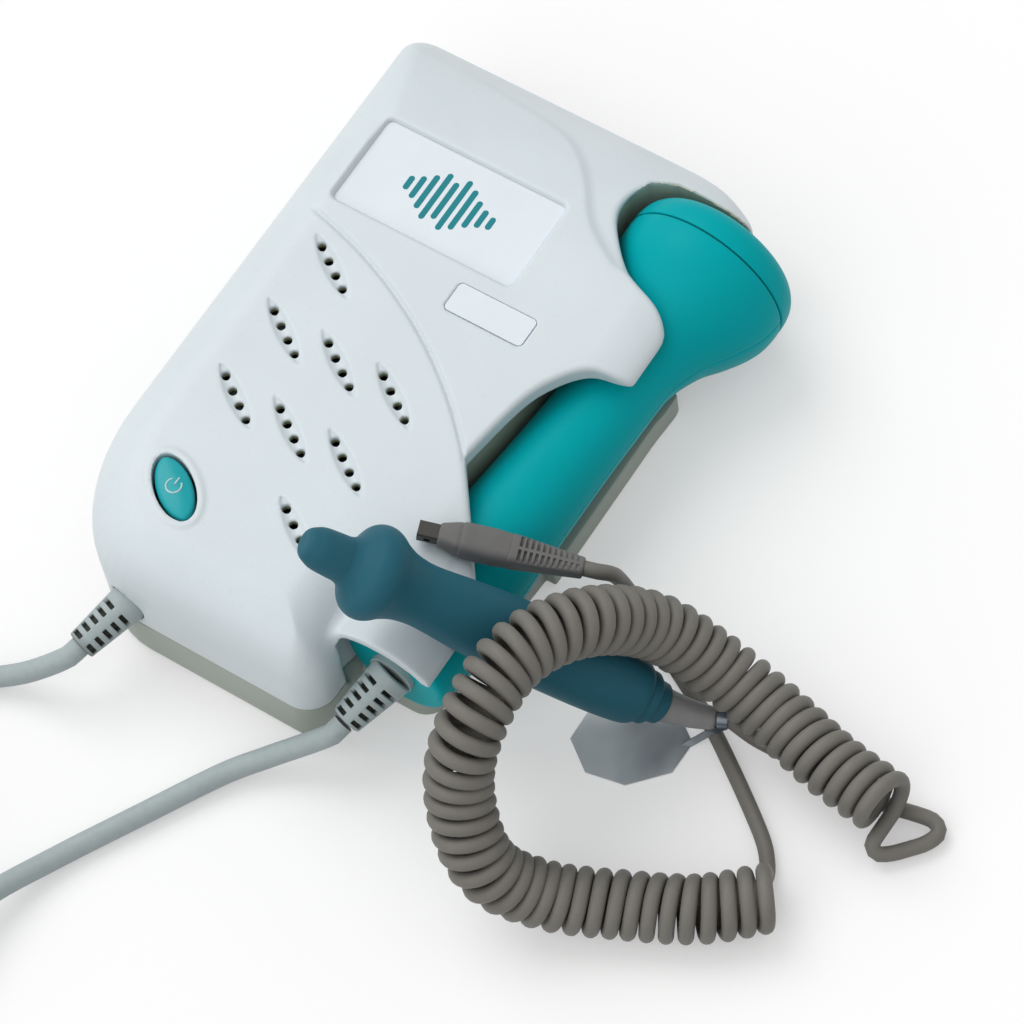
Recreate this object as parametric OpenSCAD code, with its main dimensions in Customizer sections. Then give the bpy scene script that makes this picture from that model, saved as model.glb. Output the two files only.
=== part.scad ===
// Pocket doppler with a docked fetal probe and a plug-in vascular probe on a curly cord.
// The frame: +Z up from the back of the case, +Y towards the head end, +X towards the dock.

/* [Case] */
// Width of the case, dock side included
case_w = 85; // [80:0.5:92]
// Length of the case
case_l = 136; // [132:0.5:144]
// Height of the front face above the table
case_h = 35; // [34:0.5:38]
// Height of the back shell's edge, where the shells part
back_h = 12; // [11.6:0.1:13]
// Wall of both shells
wall = 2.2; // [1.8:0.1:2.6]
// Thickness of the front face
face_wall = 2.8; // [2.4:0.1:3.2]
// Radius of the rounded front edge
edge_r = 12.5; // [11:0.5:13]
// Length over which the front face falls away to the head end
head_slope = 34; // [26:1:36]
// Corner radius at the head end
corner_head = 7; // [5:0.5:9]
// Width of the long round corner beside the cord
corner_cord_w = 23; // [20:0.5:25]
// Length of that corner
corner_cord_l = 33; // [28:0.5:35]
// Corner radius beside the dock
corner_dock = 6.5; // [5:0.5:8]
// Diameter of the shell screws' thread
screw_d = 2.6; // [2.2:0.1:3]
// Diameter of the shell screws' head
screw_head_d = 5; // [4.4:0.1:5.4]

/* [Dock] */
// Distance of the docked probe's axis from the case's right side, at mid length
dock_side = 7.9; // [7.5:0.1:8.6]
// Height of the docked probe's axis
dock_z = 19; // [18.8:0.1:20]
// Angle of the docked probe to the case
dock_yaw = 3.16; // [2.8:0.1:3.4]
// Distance of the docked probe's face from the case's head end
dock_head = 9.2; // [8.8:0.1:10]
// Width of the head's opening, left of the probe's axis
nest_w = 18.9; // [18.7:0.1:20]
// Thickness of the hood over the probe's tail
hood_wall = 2.3; // [2:0.1:2.6]
// Running clearance round the docked probe
dock_gap = 0.35; // [0.3:0.05:0.5]
// Angle that the head swings out of its nest
swing = 8; // [4:0.5:8]

/* [Fetal probe] */
// Length of the fetal probe without its strain relief
fetal_l = 113; // [111:0.5:114]
// Radius of its head
fetal_head_r = 18.3; // [17.6:0.1:18.5]
// Radius of its handle near the tail
fetal_tail_r = 11.9; // [11.4:0.1:12.1]
// Radius of its neck
fetal_neck_r = 9.2; // [8.8:0.1:9.6]
// Length of the cap in front of the seam
fetal_cap_l = 8.6; // [8:0.1:9.5]
// Wall of its shell
fetal_wall = 2; // [1.6:0.1:2.2]
// Diameter of each of its crystals
crystal_d = 7; // [5:0.5:8]

/* [Speaker] */
// Diameter of the speaker
speaker_d = 37; // [34:1:38]
// Depth of the speaker behind the front face
speaker_l = 8; // [7:0.5:9]
// Diameter of its magnet
magnet_d = 22; // [18:1:24]
// Depth of its magnet
magnet_l = 7.5; // [6:0.5:8]
// Length of one sound slot
slot_l = 16.7; // [15:0.1:17.5]
// Width of one sound slot
slot_w = 4; // [3.2:0.1:4.6]
// Depth of one sound slot
slot_depth = 1.1; // [0.8:0.1:1.4]
// Diameter of one sound hole
hole_d = 1.9; // [1.4:0.1:2.3]
// Distance between sound holes
hole_step = 3.64; // [3.2:0.02:3.8]
// Turn of the sound slots
slot_turn = -34.6; // [-40:0.2:-30]

/* [Controls] */
// Length of the power button
button_l = 15; // [14:0.1:16]
// Width of the power button
button_w = 7.4; // [6.8:0.1:8]
// Height of the button above the front face
button_rise = 0.8; // [0.5:0.1:1.2]
// Travel of the power button
button_travel = 0.8; // [0.5:0.1:0.8]
// Diameter of the volume wheel
wheel_d = 18; // [16:0.5:20]
// Thickness of the volume wheel
wheel_h = 3.2; // [2.6:0.1:3.6]
// Bore of the earphone jack
jack_d = 3.6; // [3.5:0.05:3.8]
// Depth of the earphone jack's bore
jack_l = 14; // [12:0.5:15]

/* [Window] */
// Width of the window on the front face
window_w = 43.6; // [40:0.1:46]
// Height of the window
window_h = 22.6; // [20:0.1:24]
// Depth of the window's plate below the face
window_depth = 1.5; // [1.2:0.1:1.6]
// Window plate's thickness
plate_t = 0.5; // [0.4:0.1:0.6]
// Width of the name plate
name_w = 18.2; // [16:0.1:20]
// Height of the name plate
name_h = 6.9; // [6:0.1:8]
// Depth of the fine groove across the face
groove_depth = 0.5; // [0.3:0.1:0.8]

/* [Batteries] */
// Diameter of one battery
cell_d = 14.2; // [13.8:0.1:14.4]
// Length of one battery
cell_l = 50.2; // [49:0.1:50.6]
// Thickness of the battery cover
cover_t = 1.9; // [1.6:0.1:2.1]

/* [Vascular probe] */
// Length of the vascular probe without its strain relief
pencil_l = 82.4; // [80:0.1:86]
// Radius of its bulge
pencil_bulge_r = 9.4; // [8.6:0.1:9.6]
// Radius of its body
pencil_body_r = 6.9; // [6:0.1:7]
// Radius of its sensing tip
pencil_tip_r = 4.3; // [3.8:0.1:4.5]
// Slope at which it leans on the case
pencil_slope = 39.5; // [39.5:0.1:40]
// Travel that lifts it clear of the case and the cord
pencil_travel = 90; // [70:5:110]

/* [Plug] */
// Width of the plug's body
plug_w = 6.8; // [6.2:0.1:7.2]
// Thickness of the plug's body
plug_t = 5.4; // [5:0.1:5.8]
// Width of the plug's metal shell
plug_shell_w = 3.4; // [3:0.1:3.8]
// Thickness of the plug's metal shell
plug_shell_t = 2.6; // [2.2:0.1:3]
// Length of the plug's metal shell
plug_shell_l = 4; // [3.4:0.1:5]

/* [Cords] */
// Diameter of the fetal probe's cord
cord_d = 4.4; // [4:0.1:4.6]
// Loops of that cord in its put-away coil
coil_loops = 8; // [4:2:10]
// Outer radius of the put-away coil
coil_r = 32.5; // [32:0.5:34]
// Diameter of the vascular probe's cord
wire_d = 2.9; // [2.6:0.1:2.9]
// Diameter of the wire in the curly cord
curl_wire_d = 2.4; // [2.1:0.1:2.5]
// Curls of the curly cord
curls = 49; // [40:1:52]
// Outer diameter of the curly cord
curl_d = 13.6; // [12:0.2:13.8]

/* [Hidden] */
$fn = 48;

left = -case_w / 2;
right = case_w / 2;
top = case_l / 2;
bottom = -case_l / 2;
tiny = 0.01;
hair = 0.15;
step_h = 0.8;
face_under = case_h - face_wall;
// Right side of the body, below the dock's hood
body_right = right - 20;
// Slab that holds everything, for cutting
far = 300;

// The docked probe's axis
dock_x = right - dock_side;
tail_y = top - dock_head - fetal_l * cos(dock_yaw);
function dock_at(y) = dock_x + y * tan(dock_yaw);
tail_x = dock_at(tail_y);
seam_l = fetal_l - fetal_cap_l;
seam_y = tail_y + seam_l * cos(dock_yaw);
seam_x = dock_at(seam_y);
swing_at = [tail_x - 1.2, tail_y + 5];
hood_r = fetal_tail_r + dock_gap + hood_wall;
hood_end = tail_y - 2.8;
wing_under = dock_z + 11.4;
dock_floor = dock_z - fetal_tail_r - dock_gap;

// Places on the front face
window_at = [left + 10.3, top - 46.9];
name_at = [left + 44.5, top - 57.1];
button_at = [left + 21.6, bottom + 19.6];
button_turn = -38.4;
speaker_at = [left + 33.5, bottom + 52];
slot_first = [left + 20.4, bottom + 76];
slot_column = [13.4, -0.75];
slot_row = -16.9;
slot_cells = [[0, 0], [0, 1], [1, 1], [2, 1], [0, 2], [1, 2], [2, 2], [2, 3]];
groove_at = [left - 10.6, bottom - 16.4];
groove_r = 103.8;
groove_w = 0.8;

// The battery bay, in the head end's half
bay_x = left + 8.6;
bay_w = 3 * (cell_d + 0.45);
bay_y = 1;
bay_l = cell_l + 6.2;
bay_wall = 1.4;
cell_z = cover_t + 0.8 + cell_d / 2;
bay_top = cell_z + cell_d / 2 + 0.3;
contact_t = 0.5;

// The circuit board, in the other half
board_x = [left + 8, body_right - 9];
board_y = [bottom + 14, -3];
board_z = 5;
board_t = 1.6;
board_top = board_z + board_t;
// Shell screws: place, and height of their bosses' tops
screws_at = [
    [left + 5.7, top - 5.8, case_h - 7.7],
    [left + 55.7, top - 5.8, case_h - 7.7],
    [left + 14.5, bottom + 13, case_h - 3.5],
    [left + 54, bottom + 6.5, case_h - 4.2]
];
wheel_at = [left + wheel_d / 2 - 1.5, bottom + 46];
wheel_z = 13.6;
jack_y = bottom + 62;
jack_z = board_top + 2.4;
case_relief_at = [left + 20.1, bottom + 0.9, 16.5];
case_relief_turn = -19;
case_relief_droop = 14;
case_relief_l = 12.4;
fetal_relief_turn = -20;
fetal_relief_droop = 22;
fetal_relief_l = 12.2;
floor_side = 6.5;
fetal_relief_at = [tail_x, tail_y - 1.2, dock_z];

// The vascular probe leans on the hood with its tail on the table
pencil_turn = 23.1;
pencil_tail = [76.3, -30.35, 8.9];
pencil_relief_l = 11;
pencil_relief_bend = 39;
pencil_relief_r = pencil_relief_l / (pencil_relief_bend * PI / 180);

// The plug lies on the case's face and on the docked probe
plug_at = [26.1, -33.6, 38];
plug_dip = 9;
plug_turn = 20;
plug_nose_l = 4.2;
plug_body_l = 10;
plug_relief_l = 14;
plug_relief_x = plug_shell_l + plug_nose_l + plug_body_l;
// The paper label: its flat outline, and the fold that climbs over the plug's cord
label_t = 0.3;
label_outline = [
    [62.3, -34.9],
    [62.4, -42.3],
    [68.7, -46.9],
    [76.8, -45.3],
    [83.2, -38.4],
    [83.4, -31.2],
    [80.4, -29],
    [72.6, -27.8],
    [65.6, -29.6]
];
label_fold = [[87.6, -26.6, 3.4], [86, -28.5, 3.4], [82.5, -32.2, 0.2]];
label_sleeve_l = 2;
label_sleeve_gap = 0.25;

// Smooth curve through points, and its helpers
function unit(v) = v / norm(v);
function between(a, b, c, d, t) =
    0.5 * (2 * b + (c - a) * t + (2 * a - 5 * b + 4 * c - d) * t * t + (3 * b - a - 3 * c + d) * t * t * t);
function smooth(p, n) = [
    for (i = [0:len(p) - 2], k = [0:n - 1])
        between(p[max(i - 1, 0)], p[i], p[i + 1], p[min(i + 2, len(p) - 1)], k / n),
    p[len(p) - 1]
];
function last(p) = p[len(p) - 1];
function heading(p, i) = unit(p[min(i + 1, len(p) - 1)] - p[max(i - 1, 0)]);
function ellipse(l, w, n) = [for (a = [0:360 / n:359]) [l / 2 * cos(a), w / 2 * sin(a)]];
function lens(l, w, n) = [
    for (a = [0:180 / n:179]) [l / 2 * cos(a), w / 2 * pow(sin(a), 1.4)],
    for (a = [180:180 / n:359]) [l / 2 * cos(a), -w / 2 * pow(-sin(a), 1.4)]
];

// Routes of the cords
case_cord_way = relief_way(case_relief_turn, case_relief_droop);
case_cord_start = case_relief_at + case_relief_l * case_cord_way;
fetal_cord_way = relief_way(fetal_relief_turn, fetal_relief_droop);
// Room that lets the relief swing with the probe
cord_slack = 0.8;
fetal_cord_start = fetal_relief_at + (fetal_relief_l + cord_slack) * fetal_cord_way;
coil_at = [-45, -150];
coil_step = cord_d + 0.55;
coil_mid_r = coil_r - cord_d / 2;
coil_z = cord_d / 2 + 0.05;
layer_turns = coil_loops / 2;
case_cord_path = smooth([
    case_cord_start,
    case_cord_start + 1.5 * case_cord_way,
    case_cord_start + 3 * case_cord_way,
    [-31.5, -84, 9],
    [-37, -87, 5],
    [-44, -91, 2.9],
    [-54, -97, 2.4],
    [-68, -110, 2.3],
    [coil_at[0] - coil_mid_r, coil_at[1] + 20, coil_z],
    [coil_at[0] - coil_mid_r, coil_at[1] + 10, coil_z],
    [coil_at[0] - coil_mid_r, coil_at[1] + cord_d, coil_z],
    [coil_at[0] - coil_mid_r, coil_at[1], coil_z]
], 2);
fetal_cord_path = smooth([
    fetal_cord_start,
    fetal_cord_start + 1.5 * fetal_cord_way,
    fetal_cord_start + 3 * fetal_cord_way,
    [22, -72, 9],
    [15.5, -77, 5],
    [9, -84, 2.9],
    [0, -99, 2.4],
    [-9, -115, 2.7],
    [coil_at[0] + coil_mid_r, coil_at[1] + 20, coil_z + 0.8 * coil_step],
    [coil_at[0] + coil_mid_r, coil_at[1] + 10, coil_z + coil_step],
    [coil_at[0] + coil_mid_r, coil_at[1] + cord_d, coil_z + coil_step],
    [coil_at[0] + coil_mid_r, coil_at[1], coil_z + coil_step]
], 2);

// The put-away coil spirals in, climbs a layer in half a turn and spirals out again
function coil_radius(a) =
    let (inner = coil_mid_r - layer_turns * coil_step, turned = layer_turns * 360)
        a < turned ? coil_mid_r - coil_step * a / 360
        : a < turned + 90 ? inner - coil_step * (a - turned) / 360
        : a < turned + 180 ? inner - coil_step * (turned + 180 - a) / 360
        : inner + coil_step * (a - turned - 180) / 360;
function coil_height(a) =
    let (turned = layer_turns * 360)
        coil_z + coil_step * min(1, max(0, (a - turned) / 180));
coil_path = concat(
    [[coil_at[0] - coil_mid_r, coil_at[1], coil_z], [coil_at[0] - coil_mid_r, coil_at[1] - cord_d, coil_z]],
    [
        for (a = [15:15:coil_loops * 360 + 165])
            [coil_at[0], coil_at[1], coil_height(a)]
                + coil_radius(a) * [cos(180 + a), sin(180 + a), 0]
    ],
    [[coil_at[0] + coil_mid_r, coil_at[1] - cord_d, coil_z + coil_step],
        [coil_at[0] + coil_mid_r, coil_at[1], coil_z + coil_step]]
);

// The curly cord's centre line, hand-laid: off the table over the vascular probe and down again
curl_r = (curl_d - curl_wire_d) / 2;
curl_route = smooth([
    [114.6, -53.4, 7],
    [104.7, -62.1, 7.1],
    [91.6, -68.9, 7.1],
    [77.9, -75.7, 9.7],
    [67.6, -78.6, 17.8],
    [59.6, -72.3, 30],
    [57.7, -63, 40.4],
    [58.2, -48.5, 43.4],
    [63.7, -35, 39],
    [71.5, -24, 26.4],
    [83.5, -21, 16.2],
    [97, -22, 11],
    [111.6, -25.4, 10.2],
    [125, -27.3, 10.4]
], 8);
function runs(p, i = 1, done = [0]) =
    i >= len(p) ? done : runs(p, i + 1, concat(done, [last(done) + norm(p[i] - p[i - 1])]));
curl_runs = runs(curl_route);
curl_l = last(curl_runs);
curl_tables = [for (k = [0:2]) [for (i = [0:len(curl_route) - 1]) [curl_runs[i], curl_route[i][k]]]];
function curl_centre(s) = [for (table = curl_tables) lookup(s, table)];
function curl_along(s) = unit(curl_centre(min(s + 1.5, curl_l)) - curl_centre(max(s - 1.5, 0)));
function curl_out(s, a) =
    let (along = curl_along(s), side = unit(cross(along, [0, 0, 1])), up = cross(side, along))
        cos(a) * side + sin(a) * up;
curl_start_a = 0;
// Eight rings a curl; the last curl stops at its lowest point
curl_steps = curls * 8 - 2;
curl_turns = [
    for (i = [0:curl_steps])
        let (s = curl_l * i / curl_steps) curl_centre(s) + curl_r * curl_out(s, curl_start_a + 45 * i)
];
curl_first = unit(curl_turns[1] - curl_turns[0]);
curl_final = unit(last(curl_turns) - curl_turns[curl_steps - 1]);
curl_path = concat(
    [curl_turns[0] - curl_wire_d * curl_first],
    curl_turns,
    [last(curl_turns) + curl_wire_d * curl_final]
);
curl_ups = concat(
    [curl_out(0, curl_start_a)],
    [for (i = [0:curl_steps]) curl_out(curl_l * i / curl_steps, curl_start_a + 45 * i)],
    [curl_out(curl_l, curl_start_a + 45 * curl_steps)]
);
pencil_down = [
    cos(pencil_slope - pencil_relief_bend) * cos(pencil_turn),
    cos(pencil_slope - pencil_relief_bend) * sin(pencil_turn),
    -sin(pencil_slope - pencil_relief_bend)
];
function leaned(x, z) =
    let (
        tilt = 90 - pencil_slope,
        reach = x * cos(tilt) - z * sin(tilt),
        rise = x * sin(tilt) + z * cos(tilt)
    )
        pencil_tail + [reach * cos(pencil_turn), reach * sin(pencil_turn), rise];
pencil_cord_start = leaned(
    pencil_relief_r * (1 - cos(pencil_relief_bend)),
    -pencil_relief_r * sin(pencil_relief_bend)
);
curl_end = last(curl_path);
pencil_cord_path = smooth([
    pencil_cord_start,
    pencil_cord_start + 1.5 * pencil_down,
    pencil_cord_start + 3 * pencil_down,
    [94, -25.4, 3.4],
    [101, -24.8, 1.9],
    [110, -24.8, 1.6],
    [118, -24.5, 1.6],
    [124, -23.8, 1.8],
    [128, -23, 2],
    [132, -22.6, 2.2],
    [134.2, -24.4, 2.3],
    [133, -27.4, 2.4],
    [129.4, -31.2, 2.5],
    [126.4, -34, 2.8],
    [124, -33.6, 3.6],
    curl_end + 3.6 * curl_final,
    curl_end + 1.8 * curl_final,
    curl_end
], 2);
plug_way = [cos(plug_dip) * cos(plug_turn), cos(plug_dip) * sin(plug_turn), -sin(plug_dip)];
plug_end = plug_at + (plug_relief_x + plug_relief_l) * plug_way;
plug_cord_path = smooth([
    plug_end,
    plug_end + 0.8 * plug_way,
    plug_end + 1.6 * plug_way,
    [59.6, -18.4, 25],
    [63, -17, 16],
    [66, -16.8, 7],
    [70.6, -18.8, 2.2],
    [77.3, -22.3, 1.55],
    [85, -26.8, 1.55],
    [94.2, -33.2, 1.6],
    [102.4, -39.3, 1.6],
    [106.8, -43, 1.65],
    [109.6, -46, 1.75],
    curl_path[0] - 1.6 * curl_first,
    curl_path[0] - 0.8 * curl_first,
    curl_path[0]
], 2);
// Least gap between a wound tube and itself, from ring to ring, one turn on
function least_gap(p, width, ring) =
    min([
        for (i = [0:len(p) - 1])
            min(concat([far], [
                for (j = [i + floor(ring * 0.6):min(i + floor(ring * 1.6), len(p) - 1)]) norm(p[i] - p[j])
            ]))
    ]) - width;

// Closed solid through a row of rings, each anticlockwise as seen from the row's far end
module loft(rings) {
    n = len(rings[0]);
    count = len(rings);
    points = [for (ring = rings) each ring];
    skin = [
        for (i = [0:count - 2], k = [0:n - 1], half = [0, 1])
            let (a = i * n + k, b = i * n + (k + 1) % n)
                half == 0 ? [a, a + n, b + n] : [a, b + n, b]
    ];
    start = [for (k = [1:n - 2]) [0, k, k + 1]];
    end = [for (k = [1:n - 2]) let (a = (count - 1) * n) [a, a + k + 1, a + k]];
    polyhedron(points, concat(skin, start, end));
}

// A round tube along a path; ups holds one side direction for each point
module tube(path, width, sides, ups) {
    loft([
        for (i = [0:len(path) - 1])
            let (along = heading(path, i), side = unit(cross(along, ups[i])), up = cross(along, side))
                [
                    for (k = [0:sides - 1])
                        path[i] + width / 2 * (cos(360 * k / sides) * side + sin(360 * k / sides) * up)
                ]
    ]);
}

module cord(path, width, sides = 8) {
    tube(path, width, sides, [for (p = path) [0, 0, 1]]);
}

// Puts a shape that stands on its tail on the docked probe's axis, turned by a swing about its pivot
module docked(angle = 0) {
    translate([swing_at[0], swing_at[1], 0])
        rotate([0, 0, -angle])
            translate([tail_x - swing_at[0], tail_y - swing_at[1], dock_z])
                rotate([-90, 0, -dock_yaw])
                    children();
}

// Fetal probe's outline, as radius against the distance from its tail
fetal_curve = smooth([
    [0, fetal_tail_r - 4.4],
    [1.4, fetal_tail_r - 1.8],
    [5, fetal_tail_r - 0.2],
    [12, fetal_tail_r],
    [40, fetal_tail_r - 1.5],
    [62, fetal_neck_r + 0.2],
    [75, fetal_neck_r],
    [seam_l - 21, fetal_neck_r + 0.8],
    [seam_l - 15.4, fetal_neck_r + 3.1],
    [seam_l - 10, fetal_head_r - 2.9],
    [seam_l - 4.6, fetal_head_r - 0.5],
    [seam_l, fetal_head_r]
], 3);
cap_curve = smooth([
    [seam_l, fetal_head_r],
    [seam_l + 2.4, fetal_head_r - 0.1],
    [fetal_l - 3.4, fetal_head_r - 1.2],
    [fetal_l - 1.2, fetal_head_r - 3.6],
    [fetal_l - 0.2, fetal_head_r - 6.4]
], 3);
function grown(curve, by) = [for (p = curve) [p[0], p[1] + by]];

module turned(curve) {
    rotate_extrude()
        polygon(concat([[0, curve[0][0]]], [for (p = curve) [p[1], p[0]]], [[0, last(curve)[0]]]));
}

// Outline with a round corner in each quarter, anticlockwise from the bottom right
function rounded(x0, x1, y0, y1, corners, z) = [
    for (q = [0:3], k = [0:7])
        let (
            a = -90 + 90 * q + 90 * k / 7,
            w = max(corners[q][0], 1.5),
            l = max(corners[q][1], 1.5),
            x = q < 2 ? x1 - w : x0 + w,
            y = q == 0 || q == 3 ? y0 + l : y1 - l
        )
            [x + w * cos(a), y + l * sin(a), z]
];

// Case's outer form: outlines that draw in towards the face, more at the head end
module dome(x0, x1, y0, y1, z0, z1, edge, fall, corner_br, corner_tr) {
    corners = [
        [corner_br, corner_br],
        [corner_tr, corner_tr],
        [corner_head, corner_head],
        [corner_cord_w, corner_cord_l]
    ];
    loft([
        for (a = [-1, 0, 18, 36, 54, 72, 90])
            let (
                in_side = a < 0 ? 0 : edge * (1 - cos(a)),
                in_head = a < 0 ? 0 : fall * (1 - cos(a)),
                z = a < 0 ? z0 : z1 - edge + edge * sin(a),
                drawn = [for (c = corners) [c[0] - in_side, c[1] - in_side]]
            )
                rounded(x0 + in_side, x1 - in_side, y0 + in_side, y1 - in_head, drawn, z)
    ]);
}

head_round = 33.7;

module body_form(inset = 0, under = 0) {
    dome(left + inset, body_right - inset, bottom + inset, top - inset,
        under, case_h - (inset > 0 ? face_wall : 0), edge_r - inset, head_slope, corner_dock, corner_dock);
}

module wide_form() {
    dome(left, body_right + head_round, bottom, top, 0, case_h, edge_r, head_slope, corner_dock, head_round);
}

// Everything inside the wings' rounded right edge
module wing_section(drop, reach) {
    rotate([90, 0, 0])
        linear_extrude(far, center = true)
            polygon(concat(
                [[-far, -1], [right, -1]],
                [for (a = [0:15:90]) [right - reach * (1 - cos(a)), case_h - drop * (1 - sin(a))]],
                [[-far, case_h]]
            ));
}

// Head's opening in the front face, and the notch between the wings, which both run out to the right
module head_opening() {
    polygon(concat(
        [[right + 40, top - 9.5]],
        smooth([
            [right + 4, top - 10.8],
            [right - 7, top - 8.3],
            [seam_x - 7.4, top - 7.7],
            [seam_x - 14.6, top - 9.6],
            [seam_x - nest_w + 1, seam_y + 3.6],
            [seam_x - nest_w + 1, seam_y - 2.6],
            [seam_x - nest_w + 5, seam_y - 8.6],
            [seam_x - 7.6, seam_y - 14.4],
            [seam_x + 0.6, seam_y - 17.9],
            [right - 0.8, seam_y - 21.2],
            [right + 1, seam_y - 25]
        ], 4),
        [[right + 40, seam_y - 25]]
    ));
}

module notch() {
    polygon(concat(
        [[right + 40, seam_y - 33]],
        smooth([
            [right + 2, seam_y - 33.4],
            [right - 2.2, seam_y - 35],
            [right - 8.2, seam_y - 36.6],
            [right - 12.8, seam_y - 41.8],
            [right - 16, seam_y - 49.4],
            [right - 18.6, seam_y - 64.8]
        ], 4),
        [[right - 3.4, seam_y - 84.8], [right + 2, seam_y - 91], [right + 40, seam_y - 91]]
    ));
}

// Plan of the dock's pocket: the probe's outline on the left, open on the right
module pocket_plan() {
    polygon([
        [tail_x - fetal_tail_r - dock_gap, tail_y + 6],
        [dock_at(-20) - fetal_tail_r + 0.4, -20],
        [dock_at(5) - fetal_neck_r - 1.2, 5],
        [dock_at(seam_y - 24) - fetal_neck_r - 1, seam_y - 24],
        [seam_x - fetal_head_r + 2.9, seam_y - 13],
        [seam_x - nest_w + 0.2, seam_y - 5],
        [seam_x - nest_w, seam_y + 3],
        [seam_x - nest_w + 2, top - 10.4],
        [seam_x - 12, top - 7.6],
        [right - 8, top - 7.6],
        [right + 40, top - 9],
        [right + 40, tail_y + 6]
    ]);
}

// Room that the probe's handle needs at rest, while it swings, and when it has swung out
module handle_room(gap) {
    hull() {
        for (angle = [0, swing])
            docked(angle)
                translate([0, 0, -0.5])
                    rotate_extrude($fn = 32)
                        polygon([
                            [0, -4],
                            [fetal_tail_r + gap, -4],
                            [fetal_tail_r + gap, 16],
                            [fetal_neck_r + gap + 0.4, 62],
                            [fetal_neck_r + gap + 0.2, 80],
                            [0, 80]
                        ]);
    }
}

// Everything outside of the shells' walls, both halves together
module case_form() {
    body_form();
    intersection() {
        wide_form();
        wing_section(4.2, 10);
        linear_extrude(far)
            polygon([
                [left + 30, tail_y + 12],
                [body_right + 3, tail_y + 12],
                [body_right + 3, seam_y - 66],
                [right, seam_y - 66],
                [right, top],
                [left + 30, top]
            ]);
    }
    hood();
    // Back shell's floor under the dock
    linear_extrude(dock_floor + 3)
        hull() {
            translate([left + 40, tail_y + 1])
                square([10, top - tail_y - 30]);
            translate([dock_at(tail_y) + floor_side - 5, tail_y + 6])
                circle(r = 5);
            translate([dock_at(seam_y - 20) + floor_side - 5, seam_y - 22])
                circle(r = 5);
        }
}

// Hood over the probe's tail: from the flat face to an arch at its end
module hood() {
    intersection() {
        hull() {
            translate([dock_at(hood_end), hood_end, dock_z])
                rotate([-90, 0, 0])
                    cylinder(r = hood_r, h = 1);
            translate([dock_at(-36), -36, dock_z])
                rotate([-90, 0, 0])
                    cylinder(r = hood_r + 0.2, h = 1);
            translate([body_right - 1, tail_y + 14, case_h - 1])
                cube([4, 24, 1 - tiny]);
        }
        translate([body_right - 2, hood_end - 1, dock_z + 8])
            cube([right - body_right + 2, 60, far]);
    }
}

// Band round the head end that lies a step lower than the window's field
module head_step() {
    intersection() {
        rotate([90, 0, 90])
            linear_extrude(far, center = true)
                polygon(concat(
                    [[0, far], [0, case_h - step_h]],
                    [
                        for (a = [90:-10:0])
                            [top - head_slope * (1 - cos(a)), case_h - step_h - edge_r * (1 - sin(a))]
                    ],
                    [[top + 1, case_h - step_h - edge_r], [top + 1, far]]
                ));
        linear_extrude(far)
            polygon(concat(
                [[right + 1, top + 1], [left - 1, top + 1]],
                smooth([
                    [left - 1, top - 5],
                    [left + 8.5, top - 5.4],
                    [left + 24.5, top - 6.4],
                    [window_at[0] + 30.9, top - 8.8],
                    [window_at[0] + 38.1, top - 12.8],
                    [window_at[0] + 43.2, top - 18],
                    [seam_x - nest_w - 1.7, top - 25.4],
                    [seam_x - nest_w + 6.2, top - 30.9],
                    [right - 14.1, top - 31.9],
                    [right + 1, top - 32.4]
                ], 4)
            ));
    }
}

module shells() {
    difference() {
        case_form();
        intersection() {
            body_form(wall, wall);
            linear_extrude(far)
                polygon([
                    [left, bottom],
                    [body_right, bottom],
                    [body_right, tail_y - 9],
                    [tail_x - fetal_tail_r - 2.6, tail_y - 5.5],
                    [dock_at(-20) - fetal_tail_r - 1.8, -20],
                    [dock_at(5) - fetal_neck_r - 3.4, 5],
                    [dock_at(20) - fetal_neck_r - 3.4, 20],
                    [seam_x - nest_w - 2.2, seam_y - 8],
                    [seam_x - nest_w - 2.2, seam_y + 4],
                    [seam_x - nest_w + 1, top],
                    [left, top]
                ]);
        }
        // Dock's pocket, up to the wings' undersides
        translate([0, 0, dock_floor])
            linear_extrude(wing_under - dock_floor)
                difference() {
                    pocket_plan();
                    translate([0, tail_y])
                        square([far, 18]);
                }
        // Room over the neck where it widens to the head
        translate([0, 0, dock_z])
            linear_extrude(fetal_neck_r + 3.8)
                intersection() {
                    translate([hair, 0])
                        pocket_plan();
                    translate([left, seam_y - 23.5])
                        square([far, 18]);
                }
        // Nest right through the floor, under the head
        translate([0, 0, -1])
            linear_extrude(dock_z + 8)
                intersection() {
                    translate([hair / 2, 0])
                        pocket_plan();
                    translate([left, seam_y - 20])
                        square(far);
                }
        handle_room(dock_gap);
        head_step();
        // Open end under the hood's arch
        translate([body_right, hood_end - 12, dock_floor + 3])
            cube([far, tail_y - hood_end + 16, dock_z - dock_floor]);
        translate([0, 0, dock_z])
            linear_extrude(far) {
                head_opening();
                notch();
            }
        // Hollow under the dock's floor
        translate([body_right - 4, tail_y + 5, wall])
            cube([right - body_right - 1, seam_y - tail_y - 32, dock_floor - 2 * wall]);
    }
}

module slots() {
    for (cell = slot_cells)
        translate(slot_first + cell[0] * slot_column + [0, cell[1] * slot_row])
            rotate(slot_turn)
                children();
}

module screw_holes(d) {
    for (at = screws_at)
        translate([at[0], at[1], -1])
            cylinder(d = d, h = case_h - edge_r);
}

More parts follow.
